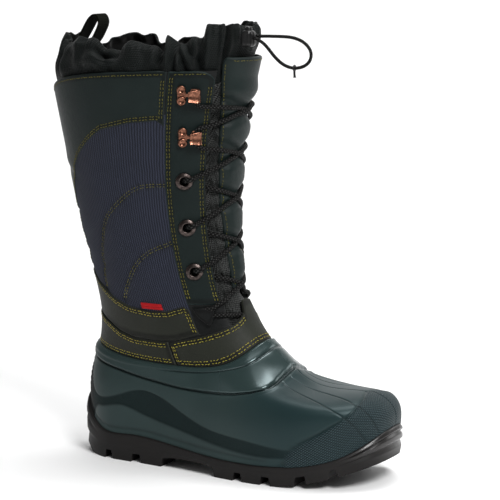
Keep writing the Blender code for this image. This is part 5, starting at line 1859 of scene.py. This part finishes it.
def gathered(turn, share):
    """Extra lift of the snow cuff: gathers, pleats down from the rim, slack rolls and a puckered hem."""
    side = folded(turn)
    out = np.zeros(turn.shape)
    waver = GATHER_WAVER * np.sin(np.radians(GATHER_WAVER_COUNT * turn))
    for count, height, phase in GATHERS:
        out = out + height * np.sin(np.radians(count * turn) + phase + waver)
    out = out * smooth(share, *GATHER_SHARES)
    down = smooth(share, *PLEAT_SHARES)
    for at, slant, half, depth in PLEATS:
        away = side - at - slant * (share - PLEAT_MIDDLE)
        ridge = trough(np.abs(away) - PLEAT_RIDGE_AWAY * half, half)
        out = out - depth * down * trough(away, half) + PLEAT_RIDGE * depth * down * ridge
    for at, height, half, tall, lift in ROLLS:
        out = out + lift * trough(side - at, half) * trough(share - height, tall)
    waver = PUCKER_WAVER * np.sin(np.radians(PUCKER_WAVER_COUNT * turn))
    pucker = np.sin(np.radians(PUCKER_COUNT * turn) + waver)
    return out + trough(share - HEM_MIDDLE, HEM_HALF) * (HEM_SWELL + PUCKER * pucker)


def make_gaiter(cloth, lining):
    """Gathered snow cuff with a rolled rim and its inside."""
    turns = turns_between(-180, 180, CUFF_STEP)
    turn, share = np.meshgrid(turns, np.linspace(0, 1, CUFF_ROWS))
    base = gaiter_surface(turn, share)
    out = normal(gaiter_surface, turn, share, LEVEL_STEP)
    rise = np.interp(folded(turn), *np.array(RIM_RISE).T) * smooth(share, *RIM_SHARES)
    outside = base + gathered(turn, share)[..., None] * out + rise[..., None] * np.array([0, 0, 1])
    up = outside[-1] - outside[-2]
    up /= np.linalg.norm(up, axis=-1, keepdims=True)
    roll = []
    for angle in np.linspace(CUFF_ROLL_START, math.pi, CUFF_ROLL_ROWS):
        shift = CUFF_CLOTH / 2 * (1 - math.cos(angle))
        roll.append(outside[-1] - shift * out[-1] + CUFF_CLOTH / 2 * math.sin(angle) * up)
    inside = outside[::-1] - CUFF_CLOTH * out[::-1]
    nets = [net(np.concatenate([outside, roll]))]
    nets.append(net(np.concatenate([roll[-1:], inside[1:CUFF_INSIDE_ROWS]]), slot=1))
    piece = make_piece("gaiter_skin", nets, [cloth, lining])
    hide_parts("gaiter")


# Fittings

FITTING_LIFT = LEATHER_TOP + 0.0002
# Columns: radius, height
GROMMET = (
    (0.0037, -0.0042), (0.0037, 0.0002), (0.0039, 0.0012), (0.0044, 0.0018), (0.0051, 0.0020),
    (0.0059, 0.0017), (0.0067, 0.0013), (0.0073, 0.0011), (0.0078, 0.0007), (0.0080, 0.0000),
)
RIVET = (
    (0.0042, 0.0000), (0.0042, 0.0009), (0.0037, 0.0016), (0.0028, 0.0018), (0.0020, 0.0012),
    (0.0012, 0.0008), (0.0000, 0.0008),
)
GROMMET_SIDES = 28
RIVET_POINTS = 20
# Half widths of the hook's sheet: plate, neck, flare and tip, and where along it they begin
HOOK_NECK = 0.0015
HOOK_FLARE = 0.0058
HOOK_TIP = 0.0047
HOOK_PLATE_SPAN = (0.001 - HOOK_PLATE, -0.0062)
HOOK_PLATE_POINTS = 5
HOOK_NECK_SPAN = (-0.0054, -0.0020)
HOOK_NECK_POINTS = 4
HOOK_FLARE_POINTS = 5
HOOK_BEND_POINTS = 14
HOOK_TIP_POINTS = 5
HOOK_FLARE_START = -0.0005
HOOK_TIP_END = -0.0022
HOOK_TIP_RISE = 0.0020
HOOK_CURL = 0.0017
HOOK_SHARP = 50
# Section of the hook's sheet: share of its half width, share of its half thickness
HOOK_ACROSS = np.linspace(-0.96, 0.96, 7)
HOOK_SECTION = (
    [(-1.0, -0.5)] + [(share, -1.0) for share in HOOK_ACROSS] + [(1.0, -0.5), (1.0, 0.5)]
    + [(share, 1.0) for share in HOOK_ACROSS[::-1]] + [(-1.0, 0.5), (-1.0, -0.5)]
)


def on_shaft(turn, z, lift):
    """Place on the shaft with its directions: to the throat, up along the shaft, and out of it."""
    point = raised(shaft_surface, turn, z, lift)
    out = normal(shaft_surface, turn, z)
    front = shaft_surface(turn - math.copysign(1.0, turn), z) - shaft_surface(turn, z)
    front = front - out * front.dot(out)
    front /= np.linalg.norm(front)
    up = np.cross(out, front)
    return point, front, up if up[2] > 0 else -up, out


def turned(profile, centre, first, second, axis, sides, flip):
    """Net of a turned piece round an axis."""
    angles = np.linspace(0, 2 * math.pi, sides + 1)
    round_ = np.cos(angles)[:, None] * first + np.sin(angles)[:, None] * second
    rows = [centre + radius * round_ + height * axis for radius, height in profile]
    return net(np.array(rows), flip=flip)


def make_eyelets(copper):
    """Grommets of both eyestays."""
    for side, sign in (("outer", 1), ("inner", -1)):
        for k, z in enumerate(EYELET_HEIGHTS):
            point, front, up, out = on_shaft(sign * EYELET_TURN, z, FITTING_LIFT + FITTING_GAP)
            flip = np.cross(front, up).dot(out) > 0
            name = f"eyelet_{side}_{k + 1}"
            grommet = turned(GROMMET, point, front, up, out, GROMMET_SIDES, flip)
            piece = make_piece(f"{name}_skin", [grommet], [copper])
            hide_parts(name)


def hook_profile():
    """Side view of the hook's sheet: distance to the throat, height, half width."""
    bend = HOOK_LACE_GAP / 2 + HOOK_SHEET / 2
    middle = HOOK_SHEET / 2 + bend
    path = [(-HOOK_PLATE, HOOK_SHEET / 2, HOOK_HALF)]
    path += [(x, HOOK_SHEET / 2, HOOK_HALF) for x in np.linspace(*HOOK_PLATE_SPAN, HOOK_PLATE_POINTS)]
    path += [(x, HOOK_SHEET / 2, HOOK_NECK) for x in np.linspace(*HOOK_NECK_SPAN, HOOK_NECK_POINTS)]
    flare = np.linspace(HOOK_FLARE_START, HOOK_FRONT - bend, HOOK_FLARE_POINTS)
    path += [(x, HOOK_SHEET / 2, HOOK_FLARE) for x in flare]
    for angle in np.linspace(0, math.pi, HOOK_BEND_POINTS)[1:-1]:
        x = HOOK_FRONT - bend + bend * math.sin(angle)
        path.append((x, middle - bend * math.cos(angle), HOOK_FLARE))
    for share in np.linspace(0, 1, HOOK_TIP_POINTS):
        x = HOOK_FRONT - bend + share * (HOOK_TIP_END - HOOK_FRONT + bend)
        width = HOOK_FLARE + share * (HOOK_TIP - HOOK_FLARE)
        path.append((x, middle + bend + share * HOOK_TIP_RISE, width))
    path.append((-HOOK_LIP, middle + bend + HOOK_TIP_RISE, HOOK_TIP))
    return np.array(path)


def hook_net(profile, point, front, up, out, flip):
    """Bent sheet of one hook, its lip curled up at both sides."""
    ahead = headings(profile[:, :2])
    half = HOOK_SHEET / 2
    rows = []
    for (x, y, wide), (along, rise) in zip(profile, ahead):
        curl = HOOK_CURL if y > HOOK_LACE_GAP / 2 else 0.0
        row = []
        for across, deep in HOOK_SECTION:
            height = y - half * deep * along + curl * across * across
            row.append(point + (x + half * deep * rise) * front + height * out + wide * across * up)
        rows.append(row)
    ends = [np.repeat(np.mean(rows[i], 0)[None], len(HOOK_SECTION), 0) for i in (0, -1)]
    return net(np.array([ends[0]] + rows + [ends[1]]), flip=flip)


def make_hooks(copper):
    """Speed hooks with two rivets each."""
    profile = hook_profile()
    for side, sign in (("outer", 1), ("inner", -1)):
        for k, (turn, z) in enumerate(zip(HOOK_TURNS, HOOK_HEIGHTS)):
            point, front, up, out = on_shaft(sign * turn, z, FITTING_LIFT + FITTING_GAP)
            flip = np.cross(front, up).dot(out) < 0
            nets = [hook_net(profile, point, front, up, out, flip)]
            for shift in (-RIVET_APART / 2, RIVET_APART / 2):
                centre = point - RIVET_BACK * front + shift * up + HOOK_SHEET * out
                nets.append(turned(RIVET, centre, front, up, out, RIVET_POINTS, not flip))
            name = f"hook_{side}_{k + 1}"
            piece = make_piece(f"{name}_skin", nets, [copper], sharp=HOOK_SHARP)
            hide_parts(name)


# Lace

LACE_STEP = 0.0009
LACE_SIDES = 10
LACE_FULL = 0.0002
LACE_OVER = 0.0022
LACE_OVER_HALF = 9.0
LACE_SINK = 0.0032
SINK_TURNS = (17.0, 27.0)
STRAND_POINTS = 60
STRAND_KEPT = 4
STRAND_REACH = 4
STRAND_SOFT = 0.045
DIVE_BEFORE = 2.5
# Bottom bar of the lace and its way round the tab: turn, z, lift
TAB_ENTRY_TURN = 44.0
LACE_BAR_Z = 0.1452
LACE_BAR = (
    (0.0, LACE_BAR_Z, -0.0016),
    (12.0, LACE_BAR_Z, -0.0016),
    (24.0, LACE_BAR_Z, -0.0014),
    (31.0, LACE_BAR_Z, 0.0006),
    (36.0, LACE_BAR_Z, 0.0022),
    (TAB_ENTRY_TURN, LACE_BAR_Z, 0.0024),
    (50.0, LACE_BAR_Z, 0.0024),
    (52.5, 0.1484, 0.0024),
    (50.0, 0.1505, 0.0024),
)
LACE_BAR_END = 0.1512
# Where strands end below an eyelet or hook and start above it
EYELET_END_TURN = 40.0
EYELET_START_TURN = 41.0
EYELET_CLEAR = 0.004
HOOK_CLEAR = 0.0105
HOOK_AHEAD = 11.0
# Lace out of an eyelet: distance to the throat, up, and out of the shaft
EYELET_STEPS = (
    (0.0, 0.0, -0.0060), (0.0004, 0.0004, -0.0010), (0.0022, 0.0010, 0.0034), (0.0062, 0.0020, 0.0050),
)
# Lace through a hook: distance back from its bend, up, and in from the middle of its gap
HOOK_STEPS = ((0.0004, -0.0066, 0.0002), (0.0008, 0.0, 0.0), (0.0004, 0.0066, 0.0002))
LAST_HOOK_END = 0.0040


def lace_floor(turn, z):
    """Highest surface under the lace, as a lift."""
    side = np.abs(turn)
    panel_low, panel_high = TONGUE_PANEL[0][0], TONGUE_PANEL[-1][0]
    on_panel = (z > panel_low) & (side < panel_half_turn(np.clip(z, panel_low, panel_high)))
    tongue = tongue_lift(turn, z) + np.where(on_panel, PANEL_GAP + LEATHER, 0.0)
    stay = np.where(z > eyestay_low(turn), LEATHER_TOP, 0.0)
    return np.where(side > THROAT_TURN - 0.5, stay, tongue)


def crossing(turn_from, z_from, turn_to, z_to, over, dive):
    """Lace strand over the tongue, resting on what is under it; a diving one ends behind the far eyestay."""
    share = np.linspace(0, 1, STRAND_POINTS)
    turn = turn_from + share * (turn_to - turn_from)
    z = z_from + share * (z_to - z_from) + LACE_BOW * np.sin(math.pi * share)
    lift = lace_floor(turn, z) + LACE_RADIUS - LACE_SINK * (1 - smooth(np.abs(turn), *SINK_TURNS))
    behind = np.sign(turn_to) * turn > THROAT_TURN - DIVE_BEFORE
    if dive:
        lift = np.where(behind, -SHAFT_WALL - LACE_RADIUS, lift)
    spans = [slice(max(0, i - STRAND_REACH), i + STRAND_REACH + 1) for i in range(STRAND_POINTS)]
    reach = np.array([max(lift[span]) for span in spans])
    if dive:
        reach = np.where(behind, lift, reach)
    weights = np.exp(-((share[:, None] - share[None, :]) / STRAND_SOFT) ** 2)
    lift = weights @ reach / weights.sum(1)
    lift = lift + over * trough(turn, LACE_OVER_HALF)
    return raised(shaft_surface, turn, z, lift)


def eyelet_start(sign, z):
    """Lace coming out of an eyelet, over its flange."""
    point, front, up, out = on_shaft(sign * EYELET_TURN, z, LEATHER_TOP)
    return np.array([point + f * front + u * up + n * out for f, u, n in EYELET_STEPS])


def hook_wrap(turn, z, last):
    """Lace up through the bend of a hook; the last one ends inside it."""
    point, front, up, out = on_shaft(turn, z, FITTING_LIFT + FITTING_GAP)
    depth = HOOK_SHEET + HOOK_LACE_GAP / 2
    inside = HOOK_FRONT - HOOK_SHEET - LACE_RADIUS
    route = []
    for back, rise, deep in HOOK_STEPS:
        rise = min(rise, LAST_HOOK_END) if last else rise
        route.append(point + (inside - back) * front + rise * up + (depth - deep) * out)
    return np.array(route)


def lace_half(sign):
    """Route of one half of the lace, from the middle of the bottom bar to its last hook."""
    over = LACE_OVER if sign > 0 else 0.0
    bar_turn, bar_z, bar_lift = np.array(LACE_BAR).T
    route = [raised(shaft_surface, sign * bar_turn, bar_z, bar_lift)]
    side = sign
    z_from, turn_from = LACE_BAR_END, TAB_ENTRY_TURN
    for index, z in enumerate(LACE_HEIGHTS[1:], 1):
        to_hook = z in HOOK_HEIGHTS
        if to_hook:
            hook_turn = HOOK_TURNS[HOOK_HEIGHTS.index(z)]
            turn_to, clear = hook_turn - HOOK_AHEAD, HOOK_CLEAR
        else:
            turn_to, clear = EYELET_END_TURN, EYELET_CLEAR
        strand = crossing(side * turn_from, z_from, -side * turn_to, z - clear, over, not to_hook)
        route.append(strand[::STRAND_KEPT])
        side = -side
        if to_hook:
            route.append(hook_wrap(side * hook_turn, z, index == len(LACE_HEIGHTS) - 1))
            turn_from = turn_to
        else:
            route.append(eyelet_start(side, z))
            turn_from = EYELET_START_TURN
        z_from = z + clear
    return np.concatenate(route)


def make_lace(braid):
    """Both halves of the lace."""
    nets = []
    for sign in (1, -1):
        points = curve_through(lace_half(sign), LACE_STEP)
        nets.append(tube_net(points, LACE_RADIUS + LACE_FULL, LACE_SIDES))
    piece = make_piece("lace_skin", nets, [braid])
    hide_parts(*[f"lace_cross_{k}" for k in range(1, len(LACE_HEIGHTS))])


# Drawcord and pull loop

CORD_STEP = 0.0012
CORD_SIDES = 12
TIE_STEP = 0.0006
TIE_RING = CORD_RADIUS + 0.0006
TIE_RING_SIDES = 10
TIE_RING_POINTS = 33
TIE_RING_THICK = 0.7
# Thickness of the tie along its tail: share at the top, swell at its end, and where and how wide that is
TIE_THIN = 0.80
TIE_SWELL = 0.3
TIE_SWELL_AT = 0.95
TIE_SWELL_HALF = 0.10
LOCK_SIDES = 72
LOCK_ROWS = 25
LOCK_SHARP = 45
LOCK_POWER = 2 / 3.2
LOCK_BARREL_POWER = 6
LOCK_BARREL_ROOT = 1 / 3
LOCK_END_WIDTH = 0.55
LOCK_RIBS = 9
LOCK_RIB_RISE = 0.0004
LOCK_RIB_FADE = 4
BUTTON_SIDES = 24
LOOP_ROWS = 72
LOOP_SHARP = 60
# Section of the webbing: share of its half width, share of its thickness
LOOP_ACROSS = np.linspace(-0.97, 0.97, 15)
LOOP_SECTION = (
    [(share, 0.0) for share in LOOP_ACROSS] + [(1.0, 0.25), (1.0, 0.75)]
    + [(share, 1.0) for share in LOOP_ACROSS[::-1]] + [(-1.0, 0.75), (-1.0, 0.25), (-0.97, 0.0)]
)


def make_drawcord(braid, plastic):
    """Stiff loop of cord out of the cord lock, with the tie that hangs from its low point."""
    points = curve_through(DRAWCORD_ROUTE, CORD_STEP)
    cord = make_piece("drawcord_skin", [tube_net(points, CORD_RADIUS, CORD_SIDES)], [braid])
    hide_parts("drawcord")
    tail = curve_through(CORD_TIE, TIE_STEP)
    share = np.linspace(0, 1, len(tail))
    swell = CORD_TIE_RADIUS * (TIE_THIN + TIE_SWELL * trough(share - TIE_SWELL_AT, TIE_SWELL_HALF))
    lowest = points[np.argmin(points[:, 2])]
    angles = np.linspace(0, 2 * math.pi, TIE_RING_POINTS)
    ring = [lowest + TIE_RING * np.array([0, math.sin(a), -math.cos(a)]) for a in angles]
    tie_nets = [tube_net(tail, swell, CORD_SIDES)]
    tie_nets.append(tube_net(ring, CORD_TIE_RADIUS * TIE_RING_THICK, TIE_RING_SIDES))
    tie = make_piece("cord_tie_skin", tie_nets, [plastic])
    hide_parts("cord_tie")


def make_cord_lock(plastic):
    """Toggle: a ribbed barrel and the button on top of it."""
    centre = np.array(CORD_LOCK_CENTRE)
    wide, deep, tall = np.array(CORD_LOCK_SIZE) / 2
    angles = np.linspace(0, 2 * math.pi, LOCK_SIDES + 1)
    x_share = np.sign(np.cos(angles)) * np.abs(np.cos(angles)) ** LOCK_POWER
    y_share = np.sign(np.sin(angles)) * np.abs(np.sin(angles)) ** LOCK_POWER
    rows = []
    for share in np.concatenate([[-1.0], np.linspace(-1, 1, LOCK_ROWS), [1.0]]):
        full = (1 - abs(share) ** LOCK_BARREL_POWER) ** LOCK_BARREL_ROOT if abs(share) < 1 else LOCK_END_WIDTH
        rib = LOCK_RIB_RISE * np.cos(LOCK_RIBS * angles) * (1 - share ** LOCK_RIB_FADE)
        x = x_share * wide * full
        y = y_share * deep * full
        grow = 1 + rib / np.hypot(x, y)
        rows.append(np.stack([x * grow, y * grow, np.full(angles.shape, share * tall)], -1))
    rows[0] = rows[0] * [0, 0, 1]
    rows[-1] = rows[-1] * [0, 0, 1]
    body = net(centre + np.array(rows), flip=True)
    top = centre + np.array([0, 0, tall])
    nets = [body, turned(BUTTON, top, *np.eye(3), BUTTON_SIDES, True)]
    piece = make_piece("cord_lock_skin", nets, [plastic], sharp=LOCK_SHARP)
    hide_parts("cord_lock")


def make_pull_loop(webbing):
    """Webbing strap folded into a loop that stands out of the snow cuff."""
    knots = np.linspace(0, 1, len(LOOP_ROUTE))
    route = cubic(knots, np.array(LOOP_ROUTE), np.linspace(0, 1, LOOP_ROWS))
    ahead = headings(route)
    away = np.stack([-ahead[:, 1], ahead[:, 0]], -1)
    rows = []
    for point, out in zip(route, away):
        flat = [point - LOOP_THICK * deep * out for _, deep in LOOP_SECTION]
        sides = [LOOP_Y + side * LOOP_WIDTH / 2 for side, _ in LOOP_SECTION]
        rows.append([(x, y, z) for (x, z), y in zip(flat, sides)])
    piece = make_piece("pull_loop_skin", [net(np.array(rows))], [webbing], sharp=LOOP_SHARP)
    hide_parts("pull_loop")


# Stitching

STITCH_PITCH = 0.0033
STITCH_LENGTH = 0.0022
STITCH_RADIUS = 0.00034
STITCH_WANDER = 0.0004
# Waver from stitch to stitch in radians, along the seam and across it, and the share of it at both ends
STITCH_ALONG_RATE = 2.4
STITCH_ACROSS_RATE = 1.7
STITCH_SLANT = np.array([[-0.6], [1.0]])
STITCH_FLAT = 0.8
# Rings of one stitch: share of its length, share of its radius, rise in radii
STITCH_RINGS = (
    (0.0, 0.0, -0.6), (0.02, 0.7, -0.35), (0.3, 1.0, 0.3), (0.7, 1.0, 0.3), (0.98, 0.7, -0.35),
    (1.0, 0.0, -0.6),
)
STITCH_ANGLES = np.linspace(0, 2 * math.pi, 7)
SEAM_ROWS = (0.0022, 0.0046)
SEAM_ABOVE_COLLAR = 0.0012
# Seams that run round the shaft: first turn, last turn, points
QUARTER_SPAN = (QUARTER_TURN + 2.5, 178, 300)
COUNTER_SPAN = (COUNTER_TURN + 2, 178, 300)
VAMP_LOW_SPAN = (1, VAMP_TURN - 2, 300)
VAMP_HIGH_SPAN = (15, VAMP_TURN - 2, 260)
CUFF_SPAN = (CUFF_TURN + 3.5, BACK_STAY_TURN, 300)
# Seams that run up the shaft beside a turn: turn, side of it, low, high, lift, points
UPRIGHT_SEAMS = (
    (THROAT_TURN + EYESTAY_SETBACK, 1, 0.158, 0.360, LEATHER_TOP, 200),
    (EYESTAY_REAR, -1, 0.160, 0.366, LEATHER_TOP, 200),
    (QUARTER_TURN, 1, 0.129, 0.148, QUARTER_TOP, 40),
    (CUFF_TURN, 1, 0.327, 0.366, LEATHER_TOP, 60),
    (BACK_STAY_TURN, 1, BACK_STAY_LOW + 0.004, 0.230, LEATHER_TOP, 80),
)
# Seam at the back of the vamp band: low, high, and inset of its two rows
VAMP_SEAM = (0.1005, 0.1165)
VAMP_SEAM_ROWS = (0.0020, 0.0038)
VAMP_SEAM_POINTS = 30
# Top seams of the shaft: first turn, last turn, drop from the top, points
TOP_SEAMS = ((CUFF_TURN + 2, 179, 0.0026, 300), (40, EYESTAY_REAR - 2, 0.0028, 80))
ARC_SEAM_OFFSETS = (-0.0012, 0.0012)
# Seams of the tongue's leather face, up its sides and along its top: first, last, points
PANEL_SEAM = (0.172, 0.380, 200)
PANEL_SEAM_INSET = 0.0024
PANEL_TOP_SEAM = (-24, 24, 80)
PANEL_TOP_SEAM_INSET = 0.0026


def stitches_on(surface, turn, level, lift):
    """Stitch nets along a line on a surface."""
    points = raised(surface, turn, level, lift)
    out = normal(surface, turn, level)
    length = lengths_along(points)

    def at(place, values):
        return np.array([np.interp(place, length, values[:, k]) for k in range(3)])

    nets = []
    for k, start in enumerate(np.arange(STITCH_PITCH / 2, length[-1] - STITCH_PITCH / 2, STITCH_PITCH)):
        start = start + STITCH_WANDER * math.sin(STITCH_ALONG_RATE * k)
        ends = np.array([at(start + share * STITCH_LENGTH, points) for share in (-0.5, 0.5)])
        up = at(start, out)
        side = np.cross(up, ends[1] - ends[0])
        side /= np.linalg.norm(side)
        ends += STITCH_WANDER * math.sin(STITCH_ACROSS_RATE * k) * STITCH_SLANT * side
        ring = np.cos(STITCH_ANGLES)[:, None] * side + STITCH_FLAT * np.sin(STITCH_ANGLES)[:, None] * up
        rows = []
        for share, full, sink in STITCH_RINGS:
            centre = ends[0] + share * (ends[1] - ends[0]) + sink * STITCH_RADIUS * up
            rows.append(centre + full * STITCH_RADIUS * ring)
        nets.append(net(np.array(rows)))
    return nets


def beside_turn(turn, z, inset):
    """Turn that lies an inset from another turn at a height, towards the back."""
    step = np.linalg.norm(shaft_surface(turn + 0.5, z) - shaft_surface(turn - 0.5, z), axis=-1)
    return turn + inset / step


def upright(turn, low, high, inset, lift, count):
    """Stitch line that runs up the shaft beside a turn: turns, heights, lift."""
    z = np.linspace(low, high, count)
    return beside_turn(np.full(count, turn), z, inset), z, lift


def row_lines(inset):
    """Stitch lines of one row at an inset from the edges of the leather pieces."""
    lines = [upright(turn, low, high, side * inset, lift, count)
             for turn, side, low, high, lift, count in UPRIGHT_SEAMS]
    turn = np.linspace(*QUARTER_SPAN)
    lines.append((turn, edge(QUARTER, QUARTER_COLUMNS, "high", turn) - inset, QUARTER_TOP))
    turn = np.linspace(*COUNTER_SPAN)
    lines.append((turn, edge(QUARTER, QUARTER_COLUMNS, "low", turn) - SEAM_GAP - inset, BAND_TOP))
    lines.append((turn, line(turn, "galosh_collar") + SEAM_ABOVE_COLLAR + inset, BAND_TOP))
    turn = np.linspace(*VAMP_LOW_SPAN)
    lines.append((turn, line(turn, "galosh_collar") + SEAM_ABOVE_COLLAR + inset, BAND_TOP))
    turn = np.linspace(*VAMP_HIGH_SPAN)
    lines.append((turn, edge(VAMP_BAND, VAMP_BAND_COLUMNS, "high", turn) - inset, BAND_TOP))
    turn = np.linspace(*CUFF_SPAN)
    lines.append((turn, edge(CUFF, CUFF_COLUMNS, "low", turn) + inset, LEATHER_TOP))
    return lines


def seam_lines():
    """Stitch lines on the outer side of the shaft: turns, heights, lift, or none on the quilted cloth."""
    lines = [seam for inset in SEAM_ROWS for seam in row_lines(inset)]
    for start, end, drop, count in TOP_SEAMS:
        turn = np.linspace(start, end, count)
        lines.append((turn, line(turn, "shaft_top") - drop, LEATHER_TOP))
    for inset in VAMP_SEAM_ROWS:
        lines.append(upright(VAMP_TURN, *VAMP_SEAM, -inset, BAND_TOP, VAMP_SEAM_POINTS))
    for arc in QUILT_ARCS:
        for offset in ARC_SEAM_OFFSETS:
            lines.append((*arc_points(arc, offset), None))
    return lines


def make_stitches(thread):
    """All stitches of the shaft and of the tongue's leather face."""
    nets = []
    for turn, z, lift in seam_lines():
        for sign in (1, -1):
            here = sign * turn
            relief = shaft_dent(here, z) + (quilt(here, z)[0] if lift is None else lift)
            nets += stitches_on(shaft_surface, here, z, relief)
    z = np.linspace(*PANEL_SEAM)
    step = np.linalg.norm(shaft_surface(1.0, z) - shaft_surface(0.0, z), axis=-1)
    for sign in (1, -1):
        turn = sign * (panel_half_turn(z) - PANEL_SEAM_INSET / step)
        inset = np.full(z.shape, PANEL_SEAM_INSET)
        nets += stitches_on(tongue_surface, turn, z, panel_lift(turn, z, inset))
    turn = np.linspace(*PANEL_TOP_SEAM)
    inset = np.full(turn.shape, PANEL_TOP_SEAM_INSET)
    z = TONGUE_PANEL[-1][0] - inset
    nets += stitches_on(tongue_surface, turn, z, panel_lift(turn, z, inset))
    piece = make_piece("stitching", nets, [thread], weld=STITCH_WELD)


def build():
    """Stage, materials and every piece of the boot."""
    make_camera()
    make_lights()
    make_floor()
    green = leather_look("green_leather_look", (0.005, 0.010, 0.0095), (0.011, 0.018, 0.017), rough=0.44)
    stay = leather_look("eyestay_leather_look", (0.0026, 0.0068, 0.0064), (0.0058, 0.0118, 0.0110),
                        rough=0.50, edge_tone=6.0)
    olive = leather_look("olive_leather_look", (0.012, 0.0135, 0.010), (0.021, 0.023, 0.017), rough=0.52)
    dark = leather_look("black_leather_look", (0.003, 0.0035, 0.0035), (0.007, 0.008, 0.008), rough=0.42)
    nylon = cloth_look("nylon_look", (0.0008, 0.0012, 0.0011), (0.0095, 0.0128, 0.0120),
                       pitch=0.0021, rough=0.55, depth=0.0005)
    gusset = cloth_look("gusset_look", (0.0006, 0.0008, 0.0008), (0.056, 0.060, 0.057),
                        pitch=0.0026, rough=0.5, depth=0.0010, gloss=0.30)
    webbing = cloth_look("webbing_look", (0.0010, 0.0012, 0.0006), (0.0070, 0.0078, 0.0036),
                         pitch=0.0018, rough=0.85, depth=0.0005, gloss=0.02)
    label = cloth_look("red_label_look", (0.30, 0.006, 0.008), (0.52, 0.018, 0.022),
                       pitch=0.0010, rough=0.7, depth=0.0002)
    lining = felt_look("lining_look", (0.004, 0.004, 0.004), (0.012, 0.012, 0.0115))
    felt = felt_look("insole_felt_look", (0.020, 0.020, 0.019), (0.055, 0.055, 0.052))
    # The light tone of the braid is its painted glint
    braid = braid_look("black_cord_look", (0.0010, 0.0010, 0.0010), (0.050, 0.050, 0.048), pitch=0.0034)
    thread = thread_look("thread_look", (0.040, 0.040, 0.012), (0.55, 0.47, 0.06))
    copper = copper_look("aged_copper_look", (0.38, 0.165, 0.105), (0.036, 0.016, 0.011))
    antique = copper_look("antique_copper_look", (0.125, 0.098, 0.090), (0.020, 0.016, 0.015))
    plastic = plastic_look()

    make_drawcord(braid, plastic)
    make_cord_lock(plastic)
    make_outsole(sole_look())
    make_galosh(galosh_look(), lining)
    make_insole(felt)
    make_shaft(navy_look(), lining, dark)
    make_tongue(gusset, lining)
    make_tongue_panel(green)
    make_gaiter(nylon, lining)
    make_leather(green, stay, olive, dark, label)
    make_eyelets(antique)
    make_hooks(copper)
    make_lace(braid)
    make_pull_loop(webbing)
    make_stitches(thread)


build()
